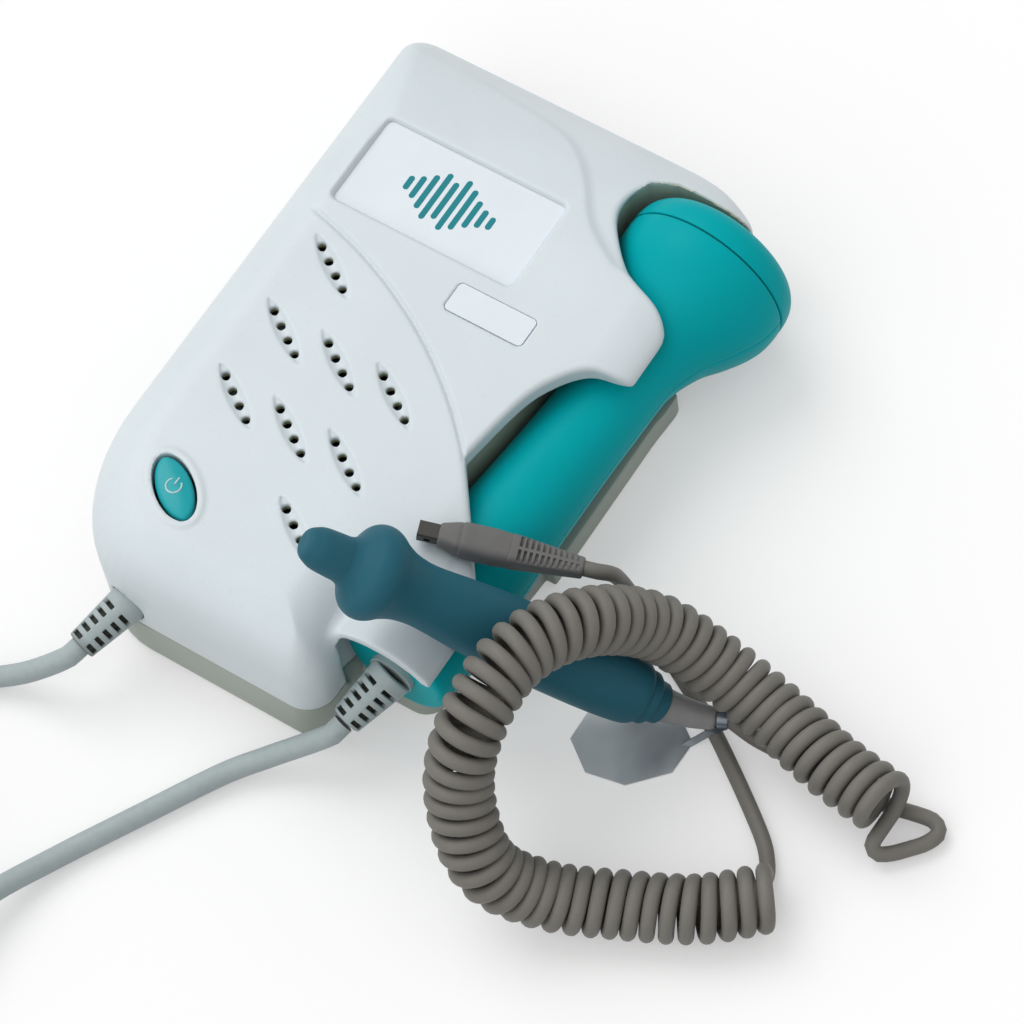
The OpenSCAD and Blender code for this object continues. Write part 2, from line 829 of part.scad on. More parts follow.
module front_shell() {
    color("aliceblue")
        difference() {
            union() {
                intersection() {
                    shells();
                    translate([left - 50, bottom - 50, back_h])
                        cube([far, far, far]);
                }
                for (at = screws_at)
                    translate([at[0], at[1], back_h + hair])
                        cylinder(d = screw_d + 3.2, h = at[2] - back_h - hair);
                button_guide();
            }
            for (at = screws_at)
                translate([at[0], at[1], back_h - 1])
                    cylinder(d = screw_d, h = 10);
            translate([window_at[0], window_at[1], case_h - window_depth - plate_t])
                rounded_plate(window_w, window_h, 2, 5);
            translate([name_at[0], name_at[1], case_h - 0.6])
                rounded_plate(name_w, name_h, 1, 5);
            translate([0, 0, case_h - slot_depth])
                slots()
                    linear_extrude(5)
                        polygon(lens(slot_l, slot_w, 8));
            slots()
                for (k = [-1.5:1.5])
                    translate([k * hole_step, 0, face_under - 3])
                        cylinder(d = hole_d, h = 9, $fn = 16);
            translate([button_at[0], button_at[1], face_under - 1])
                rotate([0, 0, button_turn])
                    linear_extrude(8)
                        polygon(ellipse(button_l + 2 * dock_gap, button_w + 2 * dock_gap, 36));
            face_groove();
            wheel_slot();
            // Hole for the cord's strain relief
            relief_place(case_relief_at, case_relief_turn, case_relief_droop)
                translate([0, 0, -6])
                    cylinder(d = 8.4, h = 14);
        }
}

module rounded_plate(w, h, r, t) {
    linear_extrude(t) {
        translate([r, 0])
            square([w - 2 * r, h]);
        translate([0, r])
            square([w, h - 2 * r]);
        for (x = [r, w - r], y = [r, h - r])
            translate([x, y])
                circle(r = r);
    }
}

module face_groove() {
    intersection() {
        translate([groove_at[0], groove_at[1], case_h - groove_depth])
            difference() {
                cylinder(r = groove_r + groove_w / 2, h = 2, $fn = 96);
                translate([0, 0, -1])
                    cylinder(r = groove_r - groove_w / 2, h = 4, $fn = 96);
            }
        translate([left + 4, seam_y - 68, 0])
            cube([body_right - left - 2, 40, far]);
    }
}

module wheel_slot() {
    translate([left - 1, wheel_at[1] - wheel_d / 2, wheel_z - 0.3])
        cube([wall + 1.2, wheel_d, wheel_h + 0.6]);
}

// Short collar behind the face that guides the power button
module button_guide() {
    translate([button_at[0], button_at[1], face_under - 0.4])
        rotate([0, 0, button_turn])
            linear_extrude(0.6)
                polygon(ellipse(button_l + 5, button_w + 5, 36));
    for (side = [-1, 1])
        translate([button_at[0], button_at[1], 0])
            rotate([0, 0, button_turn])
                translate([side * (button_l / 2 + 3.5), 0, button_board_z + board_t])
                    cylinder(d = 3, h = face_under + 0.1 - button_board_z - board_t);
}

module back_shell() {
    color("lightgray")
        difference() {
            union() {
                intersection() {
                    shells();
                    translate([left - 50, bottom - 50, 0])
                        cube([far, far, back_h]);
                }
                bay_walls();
                for (at = screws_at)
                    translate([at[0], at[1], wall - 0.1])
                        cylinder(d = screw_head_d + 1.6, h = back_h - wall + 0.1 - hair);
                for (at = [[board_x[0] + 3, board_y[0] + 3], [board_x[1] - 3, board_y[0] + 3],
                        [board_x[0] + 3, board_y[1] - 3], [board_x[1] - 3, board_y[1] - 3]])
                    translate([at[0], at[1], wall - 0.1])
                        cylinder(d = 4, h = board_z - wall + 0.1);
            }
            screw_holes(screw_d + 0.5);
            for (at = screws_at)
                translate([at[0], at[1], -1])
                    cylinder(d = screw_head_d + 0.4, h = 5);
            bay_opening();
            translate([left - 1, jack_y, jack_z])
                rotate([0, 90, 0])
                    cylinder(d = jack_d + 2.6, h = wall + 2);
        }
}

// Walls and roof of the battery bay
module bay_walls() {
    difference() {
        translate([bay_x - bay_wall, bay_y - bay_wall, wall - 0.1])
            cube([bay_w + 2 * bay_wall, bay_l + 2 * bay_wall, bay_top + bay_wall - wall + 0.1]);
        translate([bay_x, bay_y, 0])
            cube([bay_w, bay_l, bay_top]);
    }
}

// Mouth of the bay, the cover's seat and the grooves for its edges
module bay_opening() {
    translate([bay_x, bay_y, -1])
        cube([bay_w, bay_l, wall + 2]);
    translate([bay_x - 0.01, bay_y + 1, -1])
        cube([bay_w + 0.02, far, cover_t + 1.3]);
    translate([bay_x - 1, bay_y + 1, 0.9])
        cube([bay_w + 2, far, 0.8]);
}

module window_plate() {
    color("ghostwhite")
        translate([window_at[0] + hair, window_at[1] + hair, case_h - window_depth - plate_t])
            rounded_plate(window_w - 2 * hair, window_h - 2 * hair, 2, plate_t);
}

module name_plate() {
    color("ghostwhite")
        translate([name_at[0] + hair, name_at[1] + hair, case_h - 0.6])
            rounded_plate(name_w - 2 * hair, name_h - 2 * hair, 1, 0.5);
}

// Soft saddle that the probe's handle lies in
module dock_liner() {
    color("dimgray")
        difference() {
            translate([0, 0, dock_floor])
                linear_extrude(8)
                    intersection() {
                        pocket_plan();
                        polygon([
                            [tail_x - fetal_tail_r - 1, tail_y + 19],
                            [tail_x + 4, tail_y + 19],
                            [dock_at(20) + 2, 20],
                            [dock_at(20) - fetal_neck_r - 3, 20]
                        ]);
                    }
            handle_room(dock_gap);
        }
}

module shell_screws() {
    color("silver")
        for (at = screws_at)
            translate([at[0], at[1], 1.6]) {
                difference() {
                    cylinder(d = screw_head_d, h = 2.4);
                    translate([0, 0, -1])
                        cylinder(d = 2, h = 2.2, $fn = 6);
                }
                cylinder(d = screw_d - 0.1, h = back_h + 7);
            }
}

button_board_z = face_under - 7.6;

module power_button() {
    color("lightseagreen")
        translate([button_at[0], button_at[1], 0])
            rotate([0, 0, button_turn]) {
                translate([0, 0, face_under - 0.8])
                    linear_extrude(face_wall + 0.8 + button_rise - 0.5)
                        polygon(ellipse(button_l, button_w, 36));
                translate([0, 0, case_h + button_rise - 0.5 - tiny])
                    linear_extrude(0.5)
                        polygon(ellipse(button_l - 1, button_w - 1, 36));
                translate([0, 0, face_under - 1.6])
                    linear_extrude(0.9)
                        polygon(ellipse(button_l + 2, button_w + 2, 36));
                translate([0, 0, button_board_z + board_t + 3 + button_travel])
                    cylinder(d = 4, h = face_under - 1.5 - button_board_z - board_t - 3 - button_travel);
            }
}

module button_board() {
    color("darkgreen")
        translate([button_at[0], button_at[1], button_board_z])
            rotate([0, 0, button_turn])
                translate([-button_l / 2 - 6, -5, 0])
                    cube([button_l + 12, 10, board_t]);
}

module button_switch() {
    color("gray")
        translate([button_at[0], button_at[1], button_board_z + board_t]) {
            rotate([0, 0, button_turn])
                translate([-3, -3, 0])
                    cube([6, 6, 2]);
            cylinder(d = 3.4, h = 2.8);
        }
}

module at_speaker(z) {
    translate([speaker_at[0], speaker_at[1], z])
        children();
}

module speaker_frame() {
    color("dimgray")
        at_speaker(face_under - speaker_l)
            difference() {
                union() {
                    translate([0, 0, speaker_l - 1.6])
                        cylinder(d = speaker_d, h = 1.6);
                    cylinder(d1 = magnet_d + 4, d2 = speaker_d - 4, h = speaker_l - 1.6 + tiny);
                }
                translate([0, 0, 1.2])
                    cylinder(d1 = magnet_d + 1.6, d2 = speaker_d - 4, h = speaker_l);
                for (a = [0:60:300])
                    rotate([0, 0, a])
                        translate([magnet_d / 2 + 2, -2, -1])
                            cube([4, 4, speaker_l - 2]);
            }
}

module speaker_cone() {
    color("black")
        at_speaker(face_under - speaker_l + 1.5)
            difference() {
                cylinder(d1 = magnet_d - 0.4, d2 = speaker_d - 9, h = speaker_l - 2.6);
                translate([0, 0, 0.6])
                    cylinder(d1 = magnet_d - 1.4, d2 = speaker_d - 10, h = speaker_l - 3.2 + tiny);
            }
}

module speaker_magnet() {
    color("slategray")
        at_speaker(face_under - speaker_l - magnet_l)
            cylinder(d = magnet_d, h = magnet_l);
}

module circuit_board() {
    color("green")
        difference() {
            translate([board_x[0], board_y[0], board_z])
                cube([board_x[1] - board_x[0], board_y[1] - board_y[0], board_t]);
            for (at = screws_at)
                translate([at[0], at[1], 0])
                    cylinder(d = screw_head_d + 2.6, h = 20);
        }
}

// Parts on the board: place as shares of it, length, width and height
chips = [
    [0.35, 0.3, 12, 10, 1.6],
    [0.7, 0.22, 9, 5, 2.2],
    [0.78, 0.62, 7, 7, 1.4],
    [0.5, 0.72, 10, 4, 3]
];

module board_parts() {
    color("black")
        for (part = chips)
            translate([
                board_x[0] + part[0] * (board_x[1] - board_x[0]) - part[2] / 2,
                board_y[0] + part[1] * (board_y[1] - board_y[0]) - part[3] / 2,
                board_top
            ])
                cube([part[2], part[3], part[4]]);
}

module volume_pot() {
    color("royalblue")
        translate([wheel_at[0] + 1.5, wheel_at[1], board_top]) {
            translate([-0.9, -5.5, 0])
                cube([11, 11, wheel_z - board_top - 0.6]);
            translate([-1.5, 0, wheel_z - board_top - 0.7])
                cylinder(d = 3, h = 0.5);
        }
}

module volume_wheel() {
    color("darkslategray")
        translate([wheel_at[0], wheel_at[1], wheel_z])
            difference() {
                cylinder(d = wheel_d, h = wheel_h);
                for (a = [0:15:345])
                    rotate([0, 0, a])
                        translate([wheel_d / 2 + 0.3, 0, -1])
                            cylinder(d = 1.4, h = wheel_h + 2, $fn = 16);
                translate([0, 0, wheel_h - 0.8])
                    cylinder(d = 3, h = 2);
            }
}

module earphone_jack() {
    color("darkslategray")
        difference() {
            union() {
                translate([left + wall + 0.3, jack_y - 3.5, board_top])
                    cube([jack_l - wall + 2, 7, 5.2]);
                translate([left + 0.1, jack_y, jack_z])
                    rotate([0, 90, 0])
                        cylinder(d = jack_d + 2.2, h = wall + 1);
            }
            translate([left - 1, jack_y, jack_z])
                rotate([0, 90, 0])
                    cylinder(d = jack_d, h = jack_l + 1.1);
        }
}

module battery_cover() {
    color("lightgray") {
        difference() {
            translate([bay_x + 0.3, bay_y + 1.3, 0.2])
                cube([bay_w - 0.6, top - bay_y - 1.3, cover_t]);
            for (k = [0:5])
                translate([bay_x + bay_w / 2 - 8, top - 22 + 2.4 * k, 0])
                    cube([16, 1.2, 0.7]);
        }
        translate([bay_x - 0.7, bay_y + 1.3, 1.05])
            cube([bay_w + 1.4, bay_l, 0.5]);
    }
}

module batteries() {
    color("goldenrod")
        for (k = [0:2])
            translate([bay_x + (k + 0.5) * bay_w / 3, bay_y + (k % 2 == 0 ? 4.4 : 1.6), cell_z])
                rotate([-90, 0, 0]) {
                    translate([0, 0, k % 2 == 0 ? 0 : 1])
                        cylinder(d = cell_d, h = cell_l - 1);
                    translate([0, 0, k % 2 == 0 ? cell_l - 1 - tiny : tiny])
                        cylinder(d = 5.4, h = 1);
                }
}

module battery_contacts() {
    color("silver")
        for (k = [0:2], end = [0, 1])
            translate([
                bay_x + (k + 0.5) * bay_w / 3,
                end == 0 ? bay_y + contact_t / 2 + 0.05 : bay_y + bay_l - contact_t / 2 - 0.05,
                cell_z
            ]) {
                cube([11, contact_t, 11], center = true);
                if ((k % 2 == 0) == (end == 0))
                    rotate([end == 0 ? -90 : 90, 0, 0])
                        cylinder(d1 = 9, d2 = 6, h = k % 2 == 0 ? 4 : 4.2);
            }
}

// Slotted strain relief, standing on its wide end
module slotted_relief(l, d0, d1, slots_n) {
    difference() {
        cylinder(d1 = d0, d2 = d1, h = l);
        for (k = [0:slots_n - 1], a = [0, 180], across = [0, 1]) {
            z = l * (0.12 + 0.74 * (k + 0.5 * across) / slots_n);
            rotate([0, 0, a + 90 * across])
                translate([d0 / 2 - 1.6, -d0 * 0.3, z])
                    cube([3, d0 * 0.6, l * 0.3 / slots_n]);
        }
    }
}

module relief_place(at, turn, droop) {
    translate(at)
        rotate([90 + droop, 0, turn])
            children();
}

function relief_way(turn, droop) = [sin(turn) * cos(droop), -cos(turn) * cos(droop), -sin(droop)];

module case_relief() {
    color("darkgray")
        relief_place(case_relief_at, case_relief_turn, case_relief_droop) {
            slotted_relief(case_relief_l, 8, 6, 4);
            translate([0, 0, -4])
                cylinder(d = 8, h = 4.01);
        }
}

module fetal_relief() {
    color("darkgray")
        difference() {
            relief_place(fetal_relief_at, fetal_relief_turn, fetal_relief_droop)
                slotted_relief(fetal_relief_l, 9, 6.4, 4);
            docked()
                translate([-far / 2, -far / 2, -1.2])
                    cube(far);
        }
}

module fetal_half(upper) {
    difference() {
        docked()
            turned(fetal_curve);
        docked()
            translate([0, 0, 2])
                turned(grown([for (p = fetal_curve) [p[0], max(p[1], 4)]], -fetal_wall));
        translate([-far / 2, -far / 2, upper ? dock_z - far : dock_z])
            cube([far, far, far]);
    }
}

module fetal_upper() {
    color("darkcyan")
        fetal_half(true);
}

module fetal_lower() {
    color("darkcyan")
        fetal_half(false);
}

module fetal_cap() {
    color("darkcyan")
        docked()
            difference() {
                turned(cap_curve);
                translate([0, 0, seam_l - 1])
                    cylinder(r = fetal_head_r - 4, h = fetal_cap_l - 1);
                translate([0, 0, fetal_l - 3.2])
                    cylinder(r = fetal_head_r - 7.2, h = 10);
            }
}

module fetal_face() {
    color("teal")
        docked()
            translate([0, 0, fetal_l - 2.8])
                cylinder(r = fetal_head_r - 7.3, h = 2.8);
}

module fetal_crystals() {
    color("goldenrod")
        docked()
            for (a = [0:51.43:350])
                rotate([0, 0, a])
                    translate([fetal_head_r - 9.4, 0, fetal_l - 3.8 - tiny])
                        cylinder(d = min(crystal_d, 7), h = 0.9);
}

module fetal_board() {
    color("green")
        docked()
            translate([0, 0, fetal_l - 6.4]) {
                cylinder(r = fetal_head_r - 4.3, h = 1.6);
                for (a = [45:90:315])
                    rotate([0, 0, a])
                        translate([fetal_head_r - 6, 0, 1.5])
                            cylinder(d = 2, h = 1);
            }
}

module fetal_collar() {
    color("darkgray")
        docked()
            translate([0, 0, -1.2])
                cylinder(d = 9.6, h = 1.2);
}

module leaning() {
    translate(pencil_tail)
        rotate([0, -(90 - pencil_slope), pencil_turn])
            children();
}

pencil_collar_l = 4.4;
pencil_curve = smooth([
    [pencil_collar_l, pencil_body_r - 2.4],
    [pencil_collar_l + 0.6, pencil_body_r - 1.8],
    [7.4, pencil_body_r - 0.8],
    [12, pencil_body_r],
    [32, pencil_body_r],
    [46, pencil_body_r - 0.3],
    [58, pencil_body_r - 0.6],
    [62, pencil_body_r + 0.4],
    [pencil_l - 17.6, pencil_bulge_r - 0.6],
    [pencil_l - 14.4, pencil_bulge_r],
    [pencil_l - 12, pencil_bulge_r - 1],
    [pencil_l - 9.6, pencil_tip_r + 1.2],
    [pencil_l - 7, pencil_tip_r + 0.1]
], 3);

module pencil_body() {
    color("darkslategray")
        leaning()
            difference() {
                turned(pencil_curve);
                translate([0, 0, 8])
                    cylinder(r = pencil_body_r - 2.4, h = pencil_l - 20);
            }
}

module pencil_tip() {
    color("darkslategray")
        leaning()
            difference() {
                turned([
                    [pencil_l - 7 + tiny, pencil_tip_r + 0.1],
                    [pencil_l - 3.6, pencil_tip_r],
                    [pencil_l - 1.4, pencil_tip_r - 0.8],
                    [pencil_l - 0.3, pencil_tip_r - 2]
                ]);
                translate([0, 0, pencil_l - 8])
                    cylinder(r = pencil_tip_r - 1.4, h = 5.8);
            }
}

module pencil_crystals() {
    color("goldenrod")
        leaning()
            for (side = [0, 180])
                rotate([0, 0, side])
                    translate([0.3, -1.2, pencil_l - 3.2])
                        cube([1.8, 2.4, 1 - 2 * tiny]);
}

module pencil_collar() {
    color("darkslategray")
        leaning()
            cylinder(r = 3.4, h = pencil_collar_l);
}

// Strain relief that bends from the probe's slope down to the table, in steps that narrow
module pencil_relief() {
    color("gray")
        leaning()
            translate([pencil_relief_r, 0, 0])
                rotate([90, 0, 0])
                    for (k = [0:2])
                        rotate([0, 0, 180 + k * pencil_relief_bend / 3])
                            rotate_extrude(angle = pencil_relief_bend / 3)
                                translate([pencil_relief_r, 0])
                                    circle(r = 3 - 0.5 * k);
}

module case_cord() {
    color("darkgray")
        cord(case_cord_path, cord_d);
}

module fetal_cord() {
    color("darkgray")
        cord(fetal_cord_path, cord_d);
}

module cord_coil() {
    color("darkgray")
        tube(coil_path, cord_d, 6, [for (p = coil_path) [0, 0, 1]]);
    echo(cord_coil_least_gap = least_gap(coil_path, cord_d, 24));
}

module pencil_cord() {
    color("gray")
        cord(pencil_cord_path, wire_d);
}

module plug_cord() {
    color("gray")
        cord(plug_cord_path, wire_d);
}

module curly_cord() {
    color("gray")
        tube(curl_path, curl_wire_d, 6, curl_ups);
    echo(curly_cord_least_gap = least_gap(curl_path, curl_wire_d, 8));
}

// The plug's own frame: +X from its shell to its cord
module plugged() {
    translate(plug_at)
        rotate([0, plug_dip, plug_turn])
            children();
}

module plug_block(x, l, w, t, r) {
    translate([x, 0, 0])
        rotate([90, 0, 90])
            translate([-w / 2, -t / 2, 0])
                rounded_plate(w, t, r, l);
}

module plug_shell() {
    color("lightslategray")
        plugged()
            difference() {
                plug_block(0, plug_shell_l, plug_shell_w, plug_shell_t, 0.4);
                plug_block(-1, plug_shell_l + 0.2, plug_shell_w - 0.8, plug_shell_t - 0.8, 0.2);
                translate([plug_shell_l * 0.35, -far / 2, -0.45])
                    cube([1.2, far, 0.9]);
            }
}

module plug_contacts() {
    color("gold")
        plugged()
            for (y = [-0.8, 0, 0.8])
                translate([0.6, y - 0.2, -0.3])
                    cube([plug_shell_l - 1.4 - tiny, 0.4, 0.5]);
}

module plug_nose() {
    color("dimgray")
        plugged()
            hull() {
                plug_block(plug_shell_l, 0.1, plug_w - 1.6, plug_t - 1, 0.8);
                plug_block(plug_shell_l + plug_nose_l - 0.1, 0.1, plug_w, plug_t, 1.2);
            }
}

module plug_body() {
    color("gray")
        plugged()
            plug_block(plug_shell_l + plug_nose_l, plug_body_l, plug_w, plug_t, 1.2);
}

module plug_relief() {
    color("gray")
        plugged()
            difference() {
                hull() {
                    plug_block(plug_relief_x, 0.1, plug_w, plug_t, 1.2);
                    plug_block(plug_relief_x + plug_relief_l - 0.1, 0.1, wire_d + 0.6, wire_d + 0.4, 1);
                }
                for (k = [0:10], side = [-1, 1])
                    translate([plug_relief_x + 1 + 1.15 * k, side * (wire_d / 2 + 8), 0])
                        cube([0.5, 16, plug_t * (0.66 - 0.02 * k)], center = true);
            }
}

// One edge of the label's fold, square to the cord that it is folded round
module fold_edge(at) {
    translate(at)
        rotate([0, 0, pencil_turn])
            cube([label_sleeve_l, label_t, label_t], center = true);
}

// Paper label: a sleeve round the vascular probe's cord, a fold and the leaf that lies flat
module label_tag() {
    color("whitesmoke") {
        translate([0, 0, 0.05])
            linear_extrude(label_t)
                polygon(label_outline);
        for (k = [0, 1])
            hull() {
                fold_edge(label_fold[k]);
                fold_edge(label_fold[k + 1]);
            }
        translate(pencil_cord_start + 0.7 * pencil_down)
            rotate([0, 90 + pencil_slope - pencil_relief_bend, pencil_turn])
                difference() {
                    cylinder(r = wire_d / 2 + label_sleeve_gap + label_t, h = label_sleeve_l);
                    translate([0, 0, -1])
                        cylinder(r = wire_d / 2 + label_sleeve_gap, h = label_sleeve_l + 2);
                }
    }
}

front_shell();
back_shell();
window_plate();
name_plate();
dock_liner();
shell_screws();
power_button();
button_board();
button_switch();
speaker_frame();
speaker_cone();
speaker_magnet();
circuit_board();
board_parts();
volume_pot();
volume_wheel();
earphone_jack();
battery_cover();
batteries();
battery_contacts();
case_relief();
case_cord();
cord_coil();
fetal_cord();
fetal_upper();
fetal_lower();
fetal_cap();
fetal_face();
fetal_crystals();
fetal_board();
fetal_collar();
fetal_relief();
pencil_body();
pencil_tip();
pencil_crystals();
pencil_collar();
pencil_relief();
pencil_cord();
curly_cord();
plug_cord();
plug_relief();
plug_body();
plug_nose();
plug_shell();
plug_contacts();
label_tag();
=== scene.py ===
"""Pocket doppler with its docked fetal probe and a pen-shaped vascular probe on a curly cord.

Forms are given in millimetres and scaled as their meshes are made. The cords' routes are in metres.
"""

import logging
import math
from collections.abc import Callable
from dataclasses import dataclass
from enum import Enum
from functools import reduce
from itertools import product

import bpy
import numpy as np
from mathutils import Matrix, Vector


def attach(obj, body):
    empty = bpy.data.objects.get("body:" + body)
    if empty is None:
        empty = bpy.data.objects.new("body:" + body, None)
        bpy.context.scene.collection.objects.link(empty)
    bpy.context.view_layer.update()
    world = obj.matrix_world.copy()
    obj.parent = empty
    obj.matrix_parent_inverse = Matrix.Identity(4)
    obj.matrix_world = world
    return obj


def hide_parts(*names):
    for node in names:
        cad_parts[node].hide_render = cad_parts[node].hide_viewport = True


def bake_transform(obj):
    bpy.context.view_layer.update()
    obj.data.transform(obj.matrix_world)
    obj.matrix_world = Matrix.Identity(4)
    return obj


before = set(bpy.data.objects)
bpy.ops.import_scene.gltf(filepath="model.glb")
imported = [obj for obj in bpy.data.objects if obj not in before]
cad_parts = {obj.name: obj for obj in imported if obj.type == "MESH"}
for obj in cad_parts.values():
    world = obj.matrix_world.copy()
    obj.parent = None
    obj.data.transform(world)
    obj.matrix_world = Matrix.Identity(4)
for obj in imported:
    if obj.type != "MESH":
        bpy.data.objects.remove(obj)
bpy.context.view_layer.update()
LOG = logging.getLogger("doppler")
MM = 0.001
Number = float | np.ndarray
Pair = tuple[float, float]
Triple = tuple[float, float, float]
Colour = tuple[float, float, float, float]
Skin = tuple[np.ndarray, np.ndarray | list]
SHARP_FROM = math.radians(40)
AXIS_R = 0.01


def curve_through(points: list, steps: int) -> np.ndarray:
    """Runs a smooth curve through points.

    Args:
        points: Points that the curve passes, in order.
        steps: How many stretches it makes between two points.

    Returns:
        The curve's points, the first and last given points among them.
    """
    p = np.asarray(points, float)
    padded = np.vstack([p[:1], p, p[-1:]])
    a, b, c, d = (padded[i:len(p) - 1 + i, None] for i in range(4))
    t = (np.arange(steps) / steps)[None, :, None]
    swept = 2 * b + (c - a) * t + (2 * a - 5 * b + 4 * c - d) * t**2 + (3 * b - a - 3 * c + d) * t**3
    return np.vstack([0.5 * swept.reshape(-1, p.shape[1]), p[-1:]])


def unit(v: np.ndarray) -> np.ndarray:
    """Returns a vector, or each row of several, at length one."""
    return v / np.maximum(np.linalg.norm(v, axis=-1, keepdims=True), 1e-12)


def rotated(x: Number, y: Number, turn: float) -> tuple[Number, Number]:
    """Measures places along and across a direction that is turned from +X, in radians."""
    return x * math.cos(turn) + y * math.sin(turn), y * math.cos(turn) - x * math.sin(turn)


def direction(turn: float, dip: float) -> np.ndarray:
    """Gives the direction that is turned from +X in plan and dips below level, both in degrees."""
    t, d = math.radians(turn), math.radians(dip)
    return np.array([math.cos(d) * math.cos(t), math.cos(d) * math.sin(t), -math.sin(d)])


def stepped(start: np.ndarray, way: np.ndarray, *steps: float) -> list[np.ndarray]:
    """Gives points at some distances from a start along a direction."""
    return [start + step * way for step in steps]


def spaced(*runs: Triple) -> np.ndarray:
    """Gives places in several runs, each from a start to an end by a step."""
    return np.concatenate([np.arange(*run) for run in runs])


def moved(vertices: np.ndarray, place: Matrix) -> np.ndarray:
    """Moves a form's points to its place."""
    return vertices @ np.array(place.to_3x3()).T + np.array(place.translation)


# Forms are distances: negative inside, zero on the skin


def joined(a: Number, b: Number, fillet: Number = 0.0) -> np.ndarray:
    """Joins two forms, with a hollow fillet where they meet."""
    if np.ndim(fillet) == 0 and fillet <= 0:
        return np.minimum(a, b)
    nearness = np.maximum(fillet - np.abs(a - b), 0.0) / fillet
    return np.minimum(a, b) - nearness**2 * fillet * 0.25


def common(a: Number, b: Number, rounding: Number = 0.0) -> np.ndarray:
    """Keeps what two forms share, with a rounded edge where their skins cross."""
    if np.ndim(rounding) == 0 and rounding <= 0:
        return np.maximum(a, b)
    corner = np.hypot(np.maximum(a + rounding, 0.0), np.maximum(b + rounding, 0.0))
    return np.minimum(np.maximum(a, b), -rounding) + corner


def cut(a: Number, b: Number, rounding: float = 0.0) -> np.ndarray:
    """Takes form b away from form a, with a rounded rim."""
    return common(a, -b, rounding)


def between(value: np.ndarray, low: float, high: float) -> np.ndarray:
    """Slab between two levels."""
    return np.abs(value - (low + high) / 2) - (high - low) / 2


def overlap(*forms: Number) -> np.ndarray:
    """Keeps what several forms share, with sharp edges."""
    return reduce(np.maximum, forms)


def faded(rounding: Number, depth: np.ndarray, run: float) -> np.ndarray:
    """Lets a rounding fade out where a depth falls from a run to nothing."""
    return rounding * np.clip(depth / run, 0.0, 1.0)


def plan(points: np.ndarray, x: np.ndarray, y: np.ndarray) -> np.ndarray:
    """Measures the distance to a closed outline in plan.

    Args:
        points: Corners of the outline, in order.
        x: Places to measure at.
        y: Places to measure at.

    Returns:
        Distances, negative inside the outline.
    """
    corners = np.asarray(points, float)
    best = np.full(np.broadcast(x, y).shape, np.inf)
    inside = np.zeros(best.shape, bool)
    for a, b in zip(corners, np.roll(corners, -1, axis=0)):
        edge = b - a
        dx, dy = x - a[0], y - a[1]
        along = np.clip((dx * edge[0] + dy * edge[1]) / max(edge @ edge, 1e-12), 0.0, 1.0)
        best = np.minimum(best, (dx - along * edge[0]) ** 2 + (dy - along * edge[1]) ** 2)
        if a[1] != b[1]:
            crosses = (a[1] > y) != (b[1] > y)
            inside ^= crosses & (dx < edge[0] * (y - a[1]) / edge[1])
    return np.where(inside, -1.0, 1.0) * np.sqrt(best)


def box_plan(x: np.ndarray, y: np.ndarray, centre: Pair, size: Pair, corner: float) -> np.ndarray:
    """Distance to a rectangle with round corners in plan."""
    qx = np.abs(x - centre[0]) - size[0] / 2 + corner
    qy = np.abs(y - centre[1]) - size[1] / 2 + corner
    outside = np.hypot(np.maximum(qx, 0.0), np.maximum(qy, 0.0))
    return outside + np.minimum(np.maximum(qx, qy), 0.0) - corner


def quarter_oval(u: np.ndarray, v: np.ndarray, reach: float, drop: float) -> np.ndarray:
    """Distance to an oval that falls by drop over reach, from a flat top to an upright side.

    Args:
        u: Distance past the side, negative inside.
        v: Height above the top, negative inside.
        reach: How far in from the side the fall begins.
        drop: How far below the top the side begins.

    Returns:
        Distances, negative inside.
    """
    a = np.maximum(u + reach, 0.0) / reach
    b = np.maximum(v + drop, 0.0) / drop
    size = np.maximum(np.sqrt(a * a + b * b), 1e-6)
    slope = np.maximum(np.hypot(a / reach, b / drop) / size, 1e-6)
    return np.where(size > 0.2, (size - 1) / slope, -min(reach, drop))


